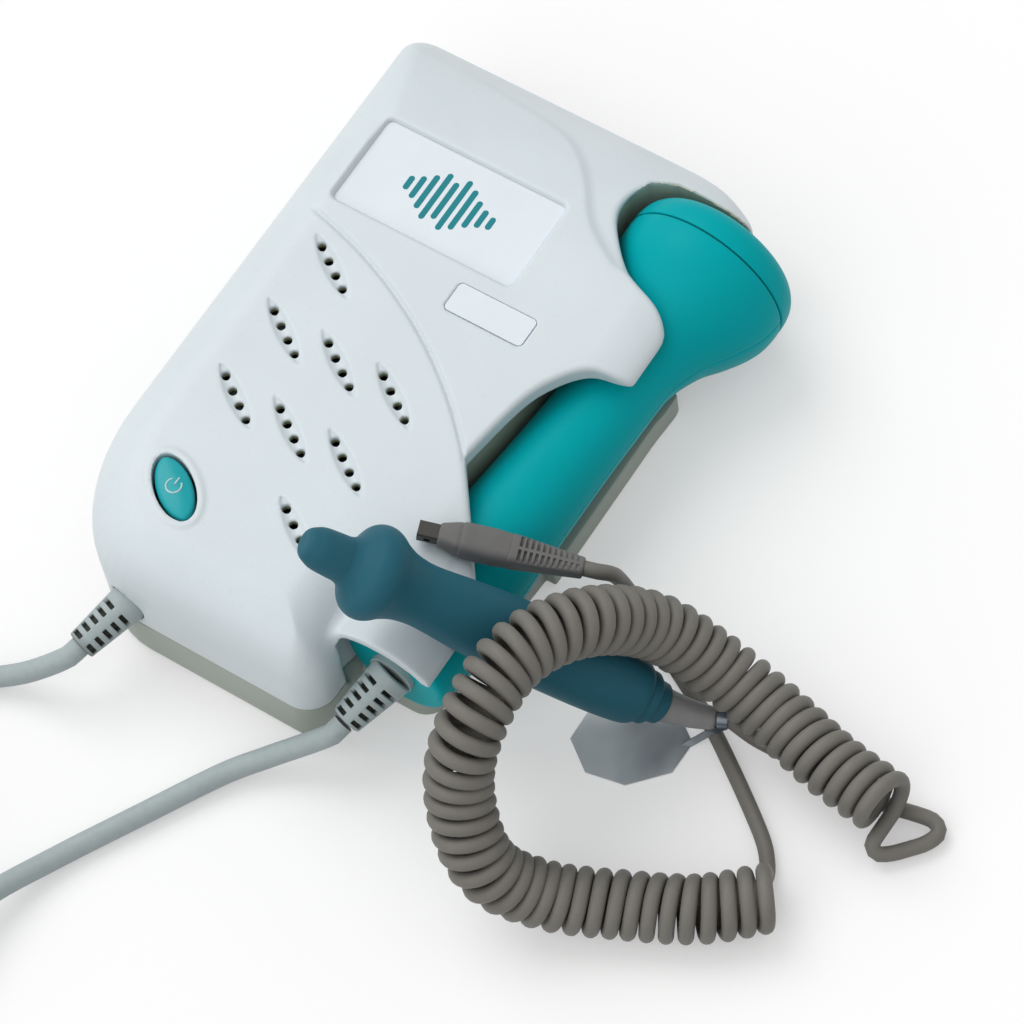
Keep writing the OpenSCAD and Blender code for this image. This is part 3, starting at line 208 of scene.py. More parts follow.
class Block:
    """Sample points in a block whose spacing may change along each axis, and what is moulded on them."""

    def __init__(self, xs: np.ndarray, ys: np.ndarray, zs: np.ndarray) -> None:
        """Sets up the points.

        Args:
            xs: Places of the samples along X, rising.
            ys: Places along Y.
            zs: Places along Z.
        """
        self.axes = tuple(np.asarray(a, np.float32) for a in (xs, ys, zs))
        self.x = self.axes[0][:, None, None]
        self.y = self.axes[1][None, :, None]
        self.z = self.axes[2][None, None, :]

    @classmethod
    def around(cls, low: Triple, high: Triple, step: float) -> "Block":
        """Makes an even block from a lowest to a highest corner."""
        return cls(*(np.arange(a - 2 * step, b + 2 * step, step) for a, b in zip(low, high)))

    def part(self, low: Pair, high: Pair) -> tuple[tuple[slice, slice], "Block"]:
        """Picks the columns over a rectangle in plan.

        Args:
            low: Lowest X and Y.
            high: Highest X and Y.

        Returns:
            Their place in this block's arrays, and a block of their own.
        """
        spans = [slice(*np.searchsorted(a, (l, h))) for a, l, h in zip(self.axes, low, high)]
        return (spans[0], spans[1]), Block(self.axes[0][spans[0]], self.axes[1][spans[1]], self.axes[2])

    def skin(self, form: np.ndarray) -> Skin:
        """Draws the skin of a form: one vertex in each cell that the skin crosses, joined by quads.

        Args:
            form: Distances at the block's points, negative inside.

        Returns:
            Vertices in millimetres, and quads that face outwards.
        """
        form = np.broadcast_to(form, [len(a) for a in self.axes]).astype(np.float32)
        inside = form < 0
        counts = sum(
            inside[tuple(slice(s, s - 1 or None) for s in steps)].astype(np.int8)
            for steps in product((0, 1), repeat=3)
        )
        cells = np.argwhere((counts > 0) & (counts < 8))
        number = np.full(counts.shape, -1, np.int64)
        number[tuple(cells.T)] = np.arange(len(cells))
        return self._vertices(form, cells), self._quads(inside, number)

    def _vertices(self, form: np.ndarray, cells: np.ndarray) -> np.ndarray:
        """Puts one vertex in each cell, in the middle of where its edges cross the skin."""
        values = {steps: form[tuple((cells + steps).T)] for steps in product((0, 1), repeat=3)}
        total, hits = np.zeros((len(cells), 3)), np.zeros(len(cells))
        for start, axis in product(values, range(3)):
            if start[axis]:
                continue
            a = values[start]
            b = values[tuple(s + (n == axis) for n, s in enumerate(start))]
            crossed = (a < 0) != (b < 0)
            share = np.where(crossed, a / np.where(crossed, a - b, 1.0), 0.0)
            point = np.array(start, float) + share[:, None] * np.eye(3)[axis]
            total += point * crossed[:, None]
            hits += crossed
        index = cells + total / hits[:, None]
        places = [np.interp(index[:, n], np.arange(len(a)), a) for n, a in enumerate(self.axes)]
        return np.stack(places, axis=1)

    def _quads(self, inside: np.ndarray, number: np.ndarray) -> np.ndarray:
        """Joins the vertices of the four cells round each edge that the skin crosses."""
        quads = []
        for axis in range(3):
            here = [slice(1, -1)] * 3
            there = list(here)
            here[axis], there[axis] = slice(0, -1), slice(1, None)
            first, second = inside[tuple(here)], inside[tuple(there)]
            at = np.argwhere(first != second)
            outward = first[tuple(at.T)]
            base = at + 1
            base[:, axis] -= 1
            ring = []
            for du, dv in ((-1, -1), (0, -1), (0, 0), (-1, 0)):
                cell = base.copy()
                cell[:, (axis + 1) % 3] += du
                cell[:, (axis + 2) % 3] += dv
                ring.append(number[tuple(cell.T)])
            faces = np.stack(ring, axis=1)
            faces[~outward] = faces[~outward, ::-1]
            quads.append(faces)
        return np.vstack(quads)


def piece(name: str, skin: Skin, body: str = "", finish: "Finish | None" = None,
          nodes: tuple[str, ...] = (), scale: float = MM) -> bpy.types.Object:
    """Makes a mesh piece with a smooth skin.

    Args:
        name: The piece's name.
        skin: Its vertices and faces.
        body: The body that it rides on, or nothing for a piece that bends between two.
        finish: Its finish.
        nodes: The CAD nodes that it stands for.
        scale: Metres in one unit of the vertices.

    Returns:
        The new object, its mesh already in place.
    """
    vertices, faces = skin
    counts = np.array([len(f) for f in faces], np.int32)
    corners = np.concatenate(list(faces)).astype(np.int32)
    mesh = bpy.data.meshes.new(name)
    mesh.vertices.add(len(vertices))
    mesh.vertices.foreach_set("co", (np.asarray(vertices) * scale).astype(np.float32).ravel())
    mesh.loops.add(len(corners))
    mesh.loops.foreach_set("vertex_index", corners)
    mesh.polygons.add(len(counts))
    mesh.polygons.foreach_set("loop_start", (np.cumsum(counts) - counts).astype(np.int32))
    mesh.polygons.foreach_set("loop_total", counts)
    mesh.polygons.foreach_set("use_smooth", np.ones(len(counts), bool))
    mesh.update(calc_edges=True)
    mesh.validate()
    mesh.set_sharp_from_angle(angle=SHARP_FROM)
    obj = bpy.data.objects.new(name, mesh)
    bpy.context.scene.collection.objects.link(obj)
    if body:
        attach(obj, body)
    if finish:
        mesh.materials.append(finish.material)
    if nodes:
        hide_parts(*nodes)
    LOG.info("%s: %d faces", name, len(counts))
    return obj


def paint(obj: bpy.types.Object, name: str, values: np.ndarray) -> None:
    """Keeps a value for each vertex on a mesh, for its material to read."""
    kept = obj.data.attributes.new(name, "FLOAT", "POINT")
    kept.data.foreach_set("value", np.asarray(values, np.float32))


@dataclass(frozen=True)
class Places:
    """Sizes and places that the case and both probes share."""

    left: float = -42.5
    right: float = 42.5
    top: float = 68.0
    bottom: float = -68.0
    face: float = 35.0
    parting: float = 12.0
    wall: float = 2.2
    face_wall: float = 2.8
    edge: float = 12.5
    fall: float = 34.0
    body_right: float = 22.5
    axis_x: float = 34.6
    axis_z: float = 19.0
    yaw: float = math.radians(3.16)
    probe_l: float = 113.0
    cap_l: float = 8.6
    head_r: float = 18.3
    tail_r: float = 11.9
    neck_r: float = 9.2
    gap: float = 0.35
    nest_w: float = 18.9
    hood_r: float = 14.55
    head_arc: float = 33.7
    button_at: Pair = (-20.9, -48.4)
    button_turn: float = math.radians(-38.4)

    @property
    def tail_y(self) -> float:
        """Where the docked probe's tail ends."""
        return self.top - 9.2 - self.probe_l * math.cos(self.yaw)

    @property
    def seam_y(self) -> float:
        """Where the docked probe's cap begins."""
        return self.tail_y + (self.probe_l - self.cap_l) * math.cos(self.yaw)

    def axis_at(self, y: Number) -> Number:
        """Gives the docked probe's axis at a place along the case."""
        return self.axis_x + y * math.tan(self.yaw)

    def docked(self) -> Matrix:
        """Turns a form that stands on its tail into the dock."""
        tail = Vector((self.axis_at(self.tail_y), self.tail_y, self.axis_z))
        turn = Matrix.Rotation(-self.yaw, 4, "Z") @ Matrix.Rotation(-math.pi / 2, 4, "X")
        return Matrix.Translation(tail) @ turn


@dataclass(frozen=True)
class Exit:
    """Where a cord's strain relief leaves a shell, and which way it points."""

    at: Triple
    turn: float
    dip: float

    @property
    def way(self) -> np.ndarray:
        """The relief's direction."""
        return direction(self.turn, self.dip)


PLACES = Places()
CASE_EXIT = Exit((-22.4, -67.1, 16.5), -109.0, 14.0)
FETAL_EXIT = Exit((31.617, -55.228, 19.0), -110.0, 22.0)


@dataclass
class CaseShells:
    """Front and back shell of the case, with the dock that both leave open for the fetal probe."""

    at: Places = PLACES
    step: float = 0.4
    back_step: float = 0.45
    ridge_drop: float = 0.8
    rim: float = 1.1  # rounding of the edges round the dock
    soft: float = 0.3  # rounding of other cut edges
    wing_left: float = -12.5
    wing_hip: float = 25.5
    bed_z: float = 6.75  # where the room under the docked handle begins
    bed_top: float = 30.4
    floor_z: float = 9.75  # top of the back shell's plate under the dock
    button_size: Pair = (15.0, 7.4)
    slot_turn: float = math.radians(-34.6)
    slot_size: Triple = (16.9, 3.7, 1.05)
    hole_r: float = 0.95
    hole_step: float = 3.64
    hole_places: tuple[float, ...] = (-1.5, -0.5, 0.5, 1.5)
    drill_z: float = 25.0  # how deep the holes through the face are drilled
    slot_first: Pair = (-22.1, 8.0)
    slot_gap: Pair = (13.4, 16.9)
    slot_skew: float = 0.75
    slot_cells: tuple[Pair, ...] = ((0, 0), (0, 1), (1, 1), (2, 1), (0, 2), (1, 2), (2, 2), (2, 3))
    window_low: Pair = (-32.2, 21.1)
    window_size: Pair = (43.6, 22.6)
    window_depth: float = 1.6
    name_low: Pair = (2.0, 10.9)
    name_size: Pair = (18.2, 6.9)
    name_depth: float = 0.6
    groove_middle: Pair = (-53.1, -84.4)
    groove_arc: float = 103.8
    groove_r: float = 0.55
    screws: tuple[Triple, ...] = (
        (-36.8, 62.2, 27.3), (13.2, 62.2, 27.3), (-28.0, -55.0, 31.5), (11.5, -61.5, 30.8)
    )
    post_r: float = 2.9
    thread_r: float = 1.3
    boss_r: float = 3.3
    head_r: float = 2.7
    shank_r: float = 1.55
    wheel: Pair = (-22.0, 13.6)
    wheel_r: float = 9.0
    jack: Pair = (-6.0, 9.0)
    jack_r: float = 3.1
    relief_r: float = 4.2
    bay: tuple[float, float, float, float] = (-33.9, 1.0, 43.95, 56.4)  # lowest X and Y, width, length
    bay_wall: float = 1.4

    def outline(self, inset: float) -> np.ndarray:
        """Gives the body's outline in plan, drawn in by an inset."""
        at = self.at
        x0, x1 = at.left + inset, at.body_right - inset
        y0, y1 = at.bottom + inset, at.top - inset
        corners = [(6.5, 6.5), (6.5, 6.5), (7.0, 7.0), (23.0, 33.0)]
        points = []
        for quarter, (w, l) in enumerate(corners):
            x = x1 - w if quarter < 2 else x0 + w
            y = y0 + l if quarter in (0, 3) else y1 - l
            for share in np.linspace(0, 1, 14):
                a = math.radians(-90 + 90 * (quarter + share))
                points.append((x + w * math.cos(a), y + l * math.sin(a)))
        return np.array(points)

    def body(self, block: Block, inset: float, top: float) -> np.ndarray:
        """Forms the body: upright sides, a round edge and the long fall to the head end."""
        at = self.at
        edge = at.edge - inset
        flat = plan(self.outline(inset), block.x, block.y)
        past_head, high = block.y - at.top + inset, block.z - top
        sides = quarter_oval(flat, high, edge, edge)
        head = quarter_oval(past_head, high, at.fall, edge)
        depths = (flat + edge, (past_head + at.fall) / 2.7, (at.left + 15 - block.x) / 2, high + edge)
        return common(sides, head, faded(2.5, reduce(np.minimum, depths), 5.0))

    def wing(self, block: Block) -> np.ndarray:
        """Forms the wing that reaches over the dock at the head end."""
        at = self.at
        arc = [
            (at.body_right + at.head_arc * math.sin(a), at.top - at.head_arc * (1 - math.cos(a)))
            for a in np.radians(np.arange(0, 37, 3))
        ]
        foot, tail = at.seam_y - 66, at.tail_y + 12
        corners = [*arc, (at.right, arc[-1][1] - 0.3), (at.right, foot), (self.wing_hip, foot),
                   (self.wing_hip, tail), (self.wing_left, tail), (self.wing_left, at.top)]
        past = np.clip(block.x - at.body_right, 0.0, 33.0)
        head_y = at.top - at.head_arc + np.sqrt(at.head_arc**2 - past**2)
        fall = at.fall + 7.6 * (past / 20) ** 3
        high = block.z - at.face
        head = quarter_oval(block.y - head_y, high, 34.0, at.edge) * at.fall / fall
        arch = quarter_oval(block.x - at.right, high, 10.0, 4.2)
        corner = np.minimum(block.x - at.right + 10, (block.y - head_y + 34) / 3)
        top = common(head, arch, faded(2.0, corner, 4.0))
        return common(plan(np.array(corners), block.x, block.y), top, 0.6)

    def hood(self, block: Block) -> np.ndarray:
        """Forms the hood that arches over the docked probe's tail and runs flush into the face above it."""
        at = self.at
        x, y, z = block.x, block.y, block.z
        across = (x - at.axis_at(y)) * math.cos(at.yaw)
        arch = np.hypot(across, z - at.axis_z) - at.hood_r
        crown = np.interp(y, [at.tail_y - 2.8, -46.0, -38.0, -17.0], [9.0, 17.5, 24.5, 26.5])
        roll = np.maximum(x - crown, 0.0)
        bridge = np.maximum(z - at.face + 0.02 + 0.035 * roll**2, 9.0 - x)
        top = joined(arch, overlap(bridge, x - 32.0, -46.0 - y), 3.0)
        ends = between(y, at.tail_y - 2.8, -14.0)
        sides = overlap(8.0 - x, x - at.right, at.axis_z + 8 - z)
        return common(common(top, ends, 0.5), sides, 0.6)

    def floor(self, block: Block) -> np.ndarray:
        """Forms the back shell's floor under the dock."""
        at = self.at
        low = (at.axis_at(at.tail_y) + 1.5, at.tail_y + 6)
        high = (at.axis_at(at.seam_y - 20) + 1.5, at.seam_y - 22)
        turn = np.radians(np.arange(-90, 91, 15))
        low_arc = [(low[0] + 5 * math.cos(a), low[1] + 5 * math.sin(a)) for a in turn[:7]]
        high_arc = [(high[0] + 5 * math.cos(a), high[1] + 5 * math.sin(a)) for a in turn[6:]]
        corners = np.array([(-2.5, at.tail_y + 1), *low_arc, *high_arc, (7.5, 38.0), (-2.5, 38.0)])
        return common(plan(corners, block.x, block.y), block.z - self.floor_z, 1.0)

    def head_opening(self) -> np.ndarray:
        """Outlines the opening over the probe's head, which runs out to the right."""
        at = self.at
        x, y = at.axis_at(at.seam_y), at.seam_y
        curve = curve_through([
            (at.right + 4, at.top - 10.8), (at.right - 7, at.top - 8.3), (x - 7.4, at.top - 7.7),
            (x - 14.6, at.top - 9.6), (x - at.nest_w + 1, y + 3.6), (x - at.nest_w + 1, y - 2.6),
            (x - at.nest_w + 5, y - 8.6), (x - 7.6, y - 14.4), (x + 0.6, y - 17.9),
            (at.right - 0.8, y - 21.2), (at.right + 1, y - 25),
        ], 6)
        return np.vstack([[(at.right + 40, at.top - 9.5)], curve, [(at.right + 40, y - 25)]])

    def notch(self) -> np.ndarray:
        """Outlines the notch between the wing and the hood, where the handle shows."""
        at = self.at
        y = at.seam_y
        curve = curve_through([
            (at.right + 2, y - 33.4), (at.right - 2.2, y - 35), (at.right - 8.2, y - 36.6),
            (at.right - 12.8, y - 41.8), (at.right - 16, y - 49.4), (at.right - 18.6, y - 64.8),
        ], 6)
        ends = [(at.right - 3.4, y - 84.8), (at.right + 2, y - 91), (at.right + 40, y - 91)]
        return np.vstack([[(at.right + 40, y - 33)], curve, ends])

    def pocket(self) -> np.ndarray:
        """Outlines the dock's pocket, which follows the docked probe on the left."""
        at = self.at
        x, y = at.axis_at(at.seam_y), at.seam_y
        return np.array([
            (at.axis_at(at.tail_y) - at.tail_r - at.gap, at.tail_y + 6),
            (at.axis_at(-20) - at.tail_r + 0.4, -20),
            (at.axis_at(5) - at.neck_r - 1.2, 5),
            (at.axis_at(y - 24) - at.neck_r - 1, y - 24),
            (x - at.head_r + 2.9, y - 13),
            (x - at.nest_w + 0.2, y - 5),
            (x - at.nest_w, y + 3),
            (x - at.nest_w + 2, at.top - 10.4),
            (x - 12, at.top - 7.6),
            (at.right - 8, at.top - 7.6),
            (at.right + 40, at.top - 9),
            (at.right + 40, at.tail_y + 6),
        ])

    def inside(self) -> np.ndarray:
        """Outlines the hollow that holds the works, clear of the dock."""
        at = self.at
        x, y = at.axis_at(at.seam_y), at.seam_y
        return np.array([
            (at.left, at.bottom), (at.body_right, at.bottom), (at.body_right, at.tail_y - 9),
            (at.axis_at(at.tail_y) - at.tail_r - 2.6, at.tail_y - 5.5),
            (at.axis_at(-20) - at.tail_r - 1.8, -20),
            (at.axis_at(5) - at.neck_r - 3.4, 5),
            (at.axis_at(20) - at.neck_r - 3.4, 20),
            (x - at.nest_w - 2.2, y - 8), (x - at.nest_w - 2.2, y + 4),
            (x - at.nest_w + 1, at.top), (at.left, at.top),
        ])

    def handle_room(self, block: Block) -> np.ndarray:
        """Forms the room that the docked probe's handle swings in."""
        at = self.at
        tail_x = at.axis_at(at.tail_y)
        pivot = np.array([tail_x - 1.2, at.tail_y + 5])
        room = np.inf
        for swing in np.radians([0.0, 2.7, 5.3, 8.0]):
            x, y = rotated(block.x - pivot[0], block.y - pivot[1], -swing)
            across, along = rotated(x + pivot[0] - tail_x, y + pivot[1] - at.tail_y, -at.yaw)
            reach = np.interp(along, [16, 62, 80], [at.tail_r, at.neck_r + 0.4, at.neck_r + 0.2]) + at.gap
            radial = np.hypot(across, block.z - at.axis_z) - reach
            room = np.minimum(room, overlap(radial, between(along, -4.5, 79.5)))
        return room

    def ridge(self) -> np.ndarray:
        """Outlines the band round the head end that lies a step lower than the window's field."""
        at = self.at
        x = at.axis_at(at.seam_y) - at.nest_w
        left = self.window_low[0]
        curve = curve_through([
            (at.left - 1, at.top - 5), (at.left + 8.5, at.top - 5.4), (at.left + 24.5, at.top - 6.4),
            (left + 30.9, at.top - 8.8), (left + 38.1, at.top - 12.8), (left + 43.2, at.top - 18),
            (x - 1.7, at.top - 25.4), (x + 6.2, at.top - 30.9), (at.right - 14.1, at.top - 31.9),
            (at.right + 1, at.top - 32.4),
        ], 6)
        return np.vstack([[(at.right + 1, at.top + 1), (at.left - 1, at.top + 1)], curve])

    def case(self, block: Block) -> np.ndarray:
        """Forms both shells together: the outside, the dock and the hollow for the works."""
        at = self.at
        x, y, z = block.x, block.y, block.z
        form = np.minimum(self.body(block, 0.0, at.face), self.wing(block) + 0.02)
        blend = np.interp(y, [-58.0, -46.0, -40.0], [3.0, 7.0, 2.0])
        form = joined(form, self.hood(block), np.maximum(faded(blend, at.face - z, 6.0), 0.01))
        form = np.minimum(form, self.floor(block))
        band = quarter_oval(y - at.top, z - at.face + self.ridge_drop, at.fall, at.edge)
        form = common(form, joined(band, -plan(self.ridge(), x, y), 1.6), 1.2)
        pocket = plan(self.pocket(), x, y)
        rooms = (
            overlap(pocket, between(z, self.bed_z, self.bed_top), at.tail_y + 18 - y),
            overlap(pocket, between(z, -5.0, at.axis_z + 7), at.seam_y - 20 - y),
            self.handle_room(block),
            overlap(at.body_right - x, y - at.tail_y - 4, at.tail_y - 15 - y, between(z, self.floor_z, 22.0)),
        )
        for room in rooms:
            form = cut(form, room, self.soft)
        sight = np.minimum(plan(self.head_opening(), x, y), plan(self.notch(), x, y))
        form = cut(form, overlap(sight, at.axis_z - z), self.rim)
        works = self.body(block, at.wall, at.face - at.face_wall)
        return cut(form, overlap(works, plan(self.inside(), x, y), at.wall - z))

    def slot_middles(self) -> list[np.ndarray]:
        """Gives the middle of each sound slot."""
        first = np.array(self.slot_first)
        right, down = self.slot_gap
        return [first + np.array([right * c, -self.slot_skew * c - down * r]) for c, r in self.slot_cells]

    def in_slot(self, middle: np.ndarray, x: np.ndarray, y: np.ndarray) -> tuple[np.ndarray, np.ndarray]:
        """Measures places along and across the sound slot round a middle."""
        return rotated(x - middle[0], y - middle[1], self.slot_turn)

    def sound_slots(self, block: Block, form: np.ndarray) -> None:
        """Scoops the sound slots into the face and drills their holes.

        Args:
            block: The front shell's block.
            form: The front shell's form, changed in place.
        """
        length, width, depth = self.slot_size
        for middle in self.slot_middles():
            columns, near = block.part(tuple(middle - 10), tuple(middle + 10))
            u, v = self.in_slot(middle, near.x, near.y)
            half = width / 2 * np.clip(1 - (2 * u / length) ** 2, 0.0, 1.0) ** 0.8
            dish = depth * np.clip(1 - (v / np.maximum(half, 0.05)) ** 2, 0.0, 1.0)
            dish = dish * np.sqrt(half * 2 / width)
            shell = np.maximum(form[columns], near.z - self.at.face + dish)
            for k in self.hole_places:
                hole = np.hypot(u - k * self.hole_step, v) - self.hole_r
                shell = cut(shell, np.maximum(hole, self.drill_z - near.z), 0.15)
            form[columns] = shell

    def field(self, block: Block, low: Pair, size: Pair, margin: float,
              corner: float) -> tuple[tuple[slice, slice], Block, np.ndarray]:
        """Picks the columns round a rectangle on the face.

        Args:
            block: The front shell's block.
            low: The rectangle's lowest X and Y.
            size: Its size.
            margin: How far round it the columns reach.
            corner: The radius of its corners.

        Returns:
            The columns' place, a block of their own, and distances to the rectangle in plan.
        """
        start, extent = np.array(low), np.array(size)
        columns, near = block.part(tuple(start - margin), tuple(start + extent + margin))
        return columns, near, box_plan(near.x, near.y, tuple(start + extent / 2), size, corner)

    def face_details(self, block: Block, form: np.ndarray) -> None:
        """Sinks the window, the name field and the curved groove into the face.

        Args:
            block: The front shell's block.
            form: The front shell's form, changed in place.
        """
        at = self.at
        columns, near, rect = self.field(block, self.window_low, self.window_size, 2.0, 2.0)
        slant = np.clip(at.face - near.z, 0.0, 1.5) * 0.55
        bevel = np.maximum(rect + slant, at.face - self.window_depth - near.z)
        shell = cut(form[columns], bevel, self.soft)
        form[columns] = cut(shell, np.maximum(rect, between(near.z, at.face - 2.0, at.face - 1.52)))
        columns, near, rect = self.field(block, self.name_low, self.name_size, 1.0, 1.0)
        form[columns] = cut(form[columns], np.maximum(rect, at.face - self.name_depth - near.z), 0.1)
        columns, near = block.part((at.left + 4, at.seam_y - 68), (at.body_right + 2, at.seam_y - 28))
        middle_x, middle_y = self.groove_middle
        arc = np.hypot(near.x - middle_x, near.y - middle_y) - self.groove_arc
        groove = np.hypot(arc, near.z - at.face) - self.groove_r
        form[columns] = cut(form[columns], groove, 0.25)

    def button_seat(self, block: Block, form: np.ndarray) -> None:
        """Raises the soft bezel round the power button and opens its hole.

        Args:
            block: The front shell's block.
            form: The front shell's form, changed in place.
        """
        middle = np.array(self.at.button_at)
        columns, near = block.part(tuple(middle - 12), tuple(middle + 12))
        u, v = rotated(near.x - middle[0], near.y - middle[1], self.at.button_turn)
        a = np.radians(np.arange(0, 360, 8))
        length, width = self.button_size
        rim = plan(np.stack([length / 2 * np.cos(a), width / 2 * np.sin(a)], axis=1), u, v)
        bezel = common(np.abs(rim - 0.8) - 0.8, between(near.z, 31.0, self.at.face + 0.3), 0.28)
        shell = joined(form[columns], bezel, 0.7)
        form[columns] = cut(shell, np.maximum(rim - 0.3, self.drill_z - near.z), 0.25)

    def front(self) -> Skin:
        """Forms the front shell and draws its skin."""
        at = self.at
        block = Block(
            np.arange(at.left - 1, at.right + 1.4, self.step),
            np.arange(at.bottom - 1, at.top + 1.2, self.step),
            spaced((11.2, 12.8, 0.2), (13.0, 30.0, 0.7), (30.1, at.face + 0.9, 0.22)),
        )
        form = common(self.case(block), at.parting + 0.02 - block.z, 0.25)
        self.face_details(block, form)
        self.sound_slots(block, form)
        self.button_seat(block, form)
        for sx, sy, sz in self.screws:
            columns, near = block.part((sx - 4, sy - 4), (sx + 4, sy + 4))
            radial = np.hypot(near.x - sx, near.y - sy)
            shell = self.body(near, 1.6, at.face - 1.8)
            post = overlap(radial - self.post_r, between(near.z, at.parting + 0.15, sz), shell)
            thread = np.maximum(radial - self.thread_r, near.z - 21.0)
            form[columns] = cut(np.minimum(form[columns], post), thread)
        wheel_y, wheel_z = self.wheel
        slot = overlap(
            between(block.x, at.left - 2, at.left + 3.4), np.abs(block.y - wheel_y) - self.wheel_r,
            between(block.z, wheel_z - 0.3, wheel_z + 3.5),
        )
        return block.skin(cut(cut(form, slot, self.soft), self.relief_hole(block), 0.4))

    def relief_hole(self, block: Block) -> np.ndarray:
        """Forms the round hole that the cord's strain relief comes out of."""
        way = CASE_EXIT.way
        dx, dy, dz = (axis - start for axis, start in zip((block.x, block.y, block.z), CASE_EXIT.at))
        along = dx * way[0] + dy * way[1] + dz * way[2]
        radial = np.sqrt(np.maximum(dx**2 + dy**2 + dz**2 - along**2, 0.0))
        return np.maximum(radial - self.relief_r, between(along, -6.0, 8.0))

    def back(self) -> Skin:
        """Forms the back shell and draws its skin."""
        at = self.at
        block = Block(
            np.arange(at.left - 1, at.right + 2.0, self.back_step),
            np.arange(at.bottom - 1, at.top + 1.2, self.back_step),
            spaced((-0.6, 3.4, 0.25), (3.6, 11.4, 0.6), (11.5, 20.0, 0.25)),
        )
        x, y, z = block.x, block.y, block.z
        form = common(self.case(block), -z, 0.9)
        form = common(form, z - at.parting + 0.02, 0.25)
        form = self.battery_bay(block, form)
        for sx, sy, _ in self.screws:
            columns, near = block.part((sx - 5, sy - 5), (sx + 5, sy + 5))
            radial = np.hypot(near.x - sx, near.y - sy)
            boss = np.maximum(radial - self.boss_r, between(near.z, 0.5, at.parting - 0.15))
            shell = cut(np.minimum(form[columns], boss), np.maximum(radial - self.head_r, near.z - 4.0), 0.2)
            form[columns] = cut(shell, radial - self.shank_r)
        jack_y, jack_z = self.jack
        hole = np.hypot(y - jack_y, z - jack_z) - self.jack_r
        return block.skin(cut(form, np.maximum(hole, between(x, at.left - 2, at.left + 3.2)), self.soft))

    def battery_bay(self, block: Block, form: np.ndarray) -> np.ndarray:
        """Walls in the cells, and opens the back for their cover and the rails that it slides in."""
        x, y, z = block.x, block.y, block.z
        low_x, low_y, wide, long = self.bay
        middle = (low_x + wide / 2, low_y + long / 2)
        walls = box_plan(x, y, middle, (wide + 2 * self.bay_wall, long + 2 * self.bay_wall), 0.6)
        walls = np.maximum(walls, between(z, self.at.wall - 0.5, 18.5))
        room = np.maximum(box_plan(x, y, middle, (wide, long), 0.2), z - 17.1)
        form = np.minimum(form, np.maximum(walls, -room))
        form = cut(form, np.maximum(box_plan(x, y, middle, (wide, long), 0.1), z - 4.2))
        run = 150
        mouth = (middle[0], low_y + 1 + run / 2)
        form = cut(form, np.maximum(box_plan(x, y, mouth, (wide, run), 0.1), z - 2.2), 0.2)
        return cut(form, np.maximum(box_plan(x, y, mouth, (wide + 2, run), 0.1), between(z, 0.9, 1.7)))

    def shade(self, vertices: np.ndarray) -> np.ndarray:
        """Gives each vertex of the front shell its share of painted shade, from 0 to 1: full deep in the
        sound holes, and up to 0.7 towards the floor of the dock.
        """
        x, y, z = vertices.T
        inside = np.zeros(len(vertices))
        for middle in self.slot_middles():
            u, v = self.in_slot(middle, x, y)
            for k in self.hole_places:
                near = np.hypot(u - k * self.hole_step, v) < self.hole_r + 0.25
                inside = np.where(near, np.clip((33.75 - z) / 0.5, 0, 1), inside)
        dock = plan(self.pocket(), x, y) < 0.6
        return np.where(dock, np.clip((31.0 - z) / 3, 0, 0.7), inside)

    def build(self) -> None:
        """Makes both shells."""
        skin = self.front()
        front = piece("case_front", skin, "case", Finish.case_plastic, ("front_shell",))
        # Painted shade: the case finish's darker olive inside colour goes deep into the sound holes and down
        # the dock.
        paint(front, "inside", self.shade(skin[0]))
        piece("case_back", self.back(), "case", Finish.back_plastic, ("back_shell",))


# Meshes swept along a route or turned about an axis


def picked(places: np.ndarray, runs: np.ndarray, points: np.ndarray) -> np.ndarray:
    """Reads points at some places between given ones, which lie at rising runs."""
    return np.stack([np.interp(places, runs, points[:, k]) for k in range(3)], axis=1)


def steps_of(path: np.ndarray) -> np.ndarray:
    """Gives the lengths between a path's points."""
    return np.linalg.norm(np.diff(path, axis=0), axis=1)


def resampled(path: np.ndarray, gap: float) -> np.ndarray:
    """Spaces a path's points evenly.

    Args:
        path: Points in order.
        gap: About how far apart the new points lie.

    Returns:
        The new points, with the same first and last one.
    """
    runs = np.concatenate([[0.0], np.cumsum(steps_of(path))])
    places = np.linspace(0.0, runs[-1], max(2, round(runs[-1] / gap) + 1))
    return picked(places, runs, path)


def swept(path: np.ndarray, radius: Number, sides: int = 18) -> Skin:
    """Sweeps a circle along a path.

    Args:
        path: The tube's centreline.
        radius: One radius, or one for each point.
        sides: How many corners a ring has.

    Returns:
        Vertices, and faces that face outwards, with both ends closed.
    """
    along = unit(np.gradient(path, axis=0))
    across = unit(np.cross(along[0], [0.3, 0.2, 1.0]))
    acrosses = []
    for way in along:
        across = unit(across - way * (across @ way))
        acrosses.append(across)
    first = np.array(acrosses)
    second = np.cross(along, first)
    a = np.linspace(0, 2 * math.pi, sides, endpoint=False)[:, None]
    reach = np.broadcast_to(radius, len(path))[:, None, None]
    rings = path[:, None] + reach * (first[:, None] * np.cos(a) + second[:, None] * np.sin(a))
    return rings.reshape(-1, 3), ring_faces(len(path), sides)


def ring_faces(rings: int, sides: int) -> list:
    """Joins rings of corners into a closed tube."""
    faces = []
    for i, j in product(range(rings - 1), range(sides)):
        k = (j + 1) % sides
        faces.append((i * sides + j, i * sides + k, (i + 1) * sides + k, (i + 1) * sides + j))
    last = (rings - 1) * sides
    faces.append(tuple(range(sides - 1, -1, -1)))
    faces.append(tuple(range(last, last + sides)))
    return faces


def closed(profile: np.ndarray | tuple) -> np.ndarray:
    """Closes a profile to the axis at both its ends."""
    return np.vstack([[(profile[0][0], AXIS_R)], profile, [(profile[-1][0], AXIS_R)]])


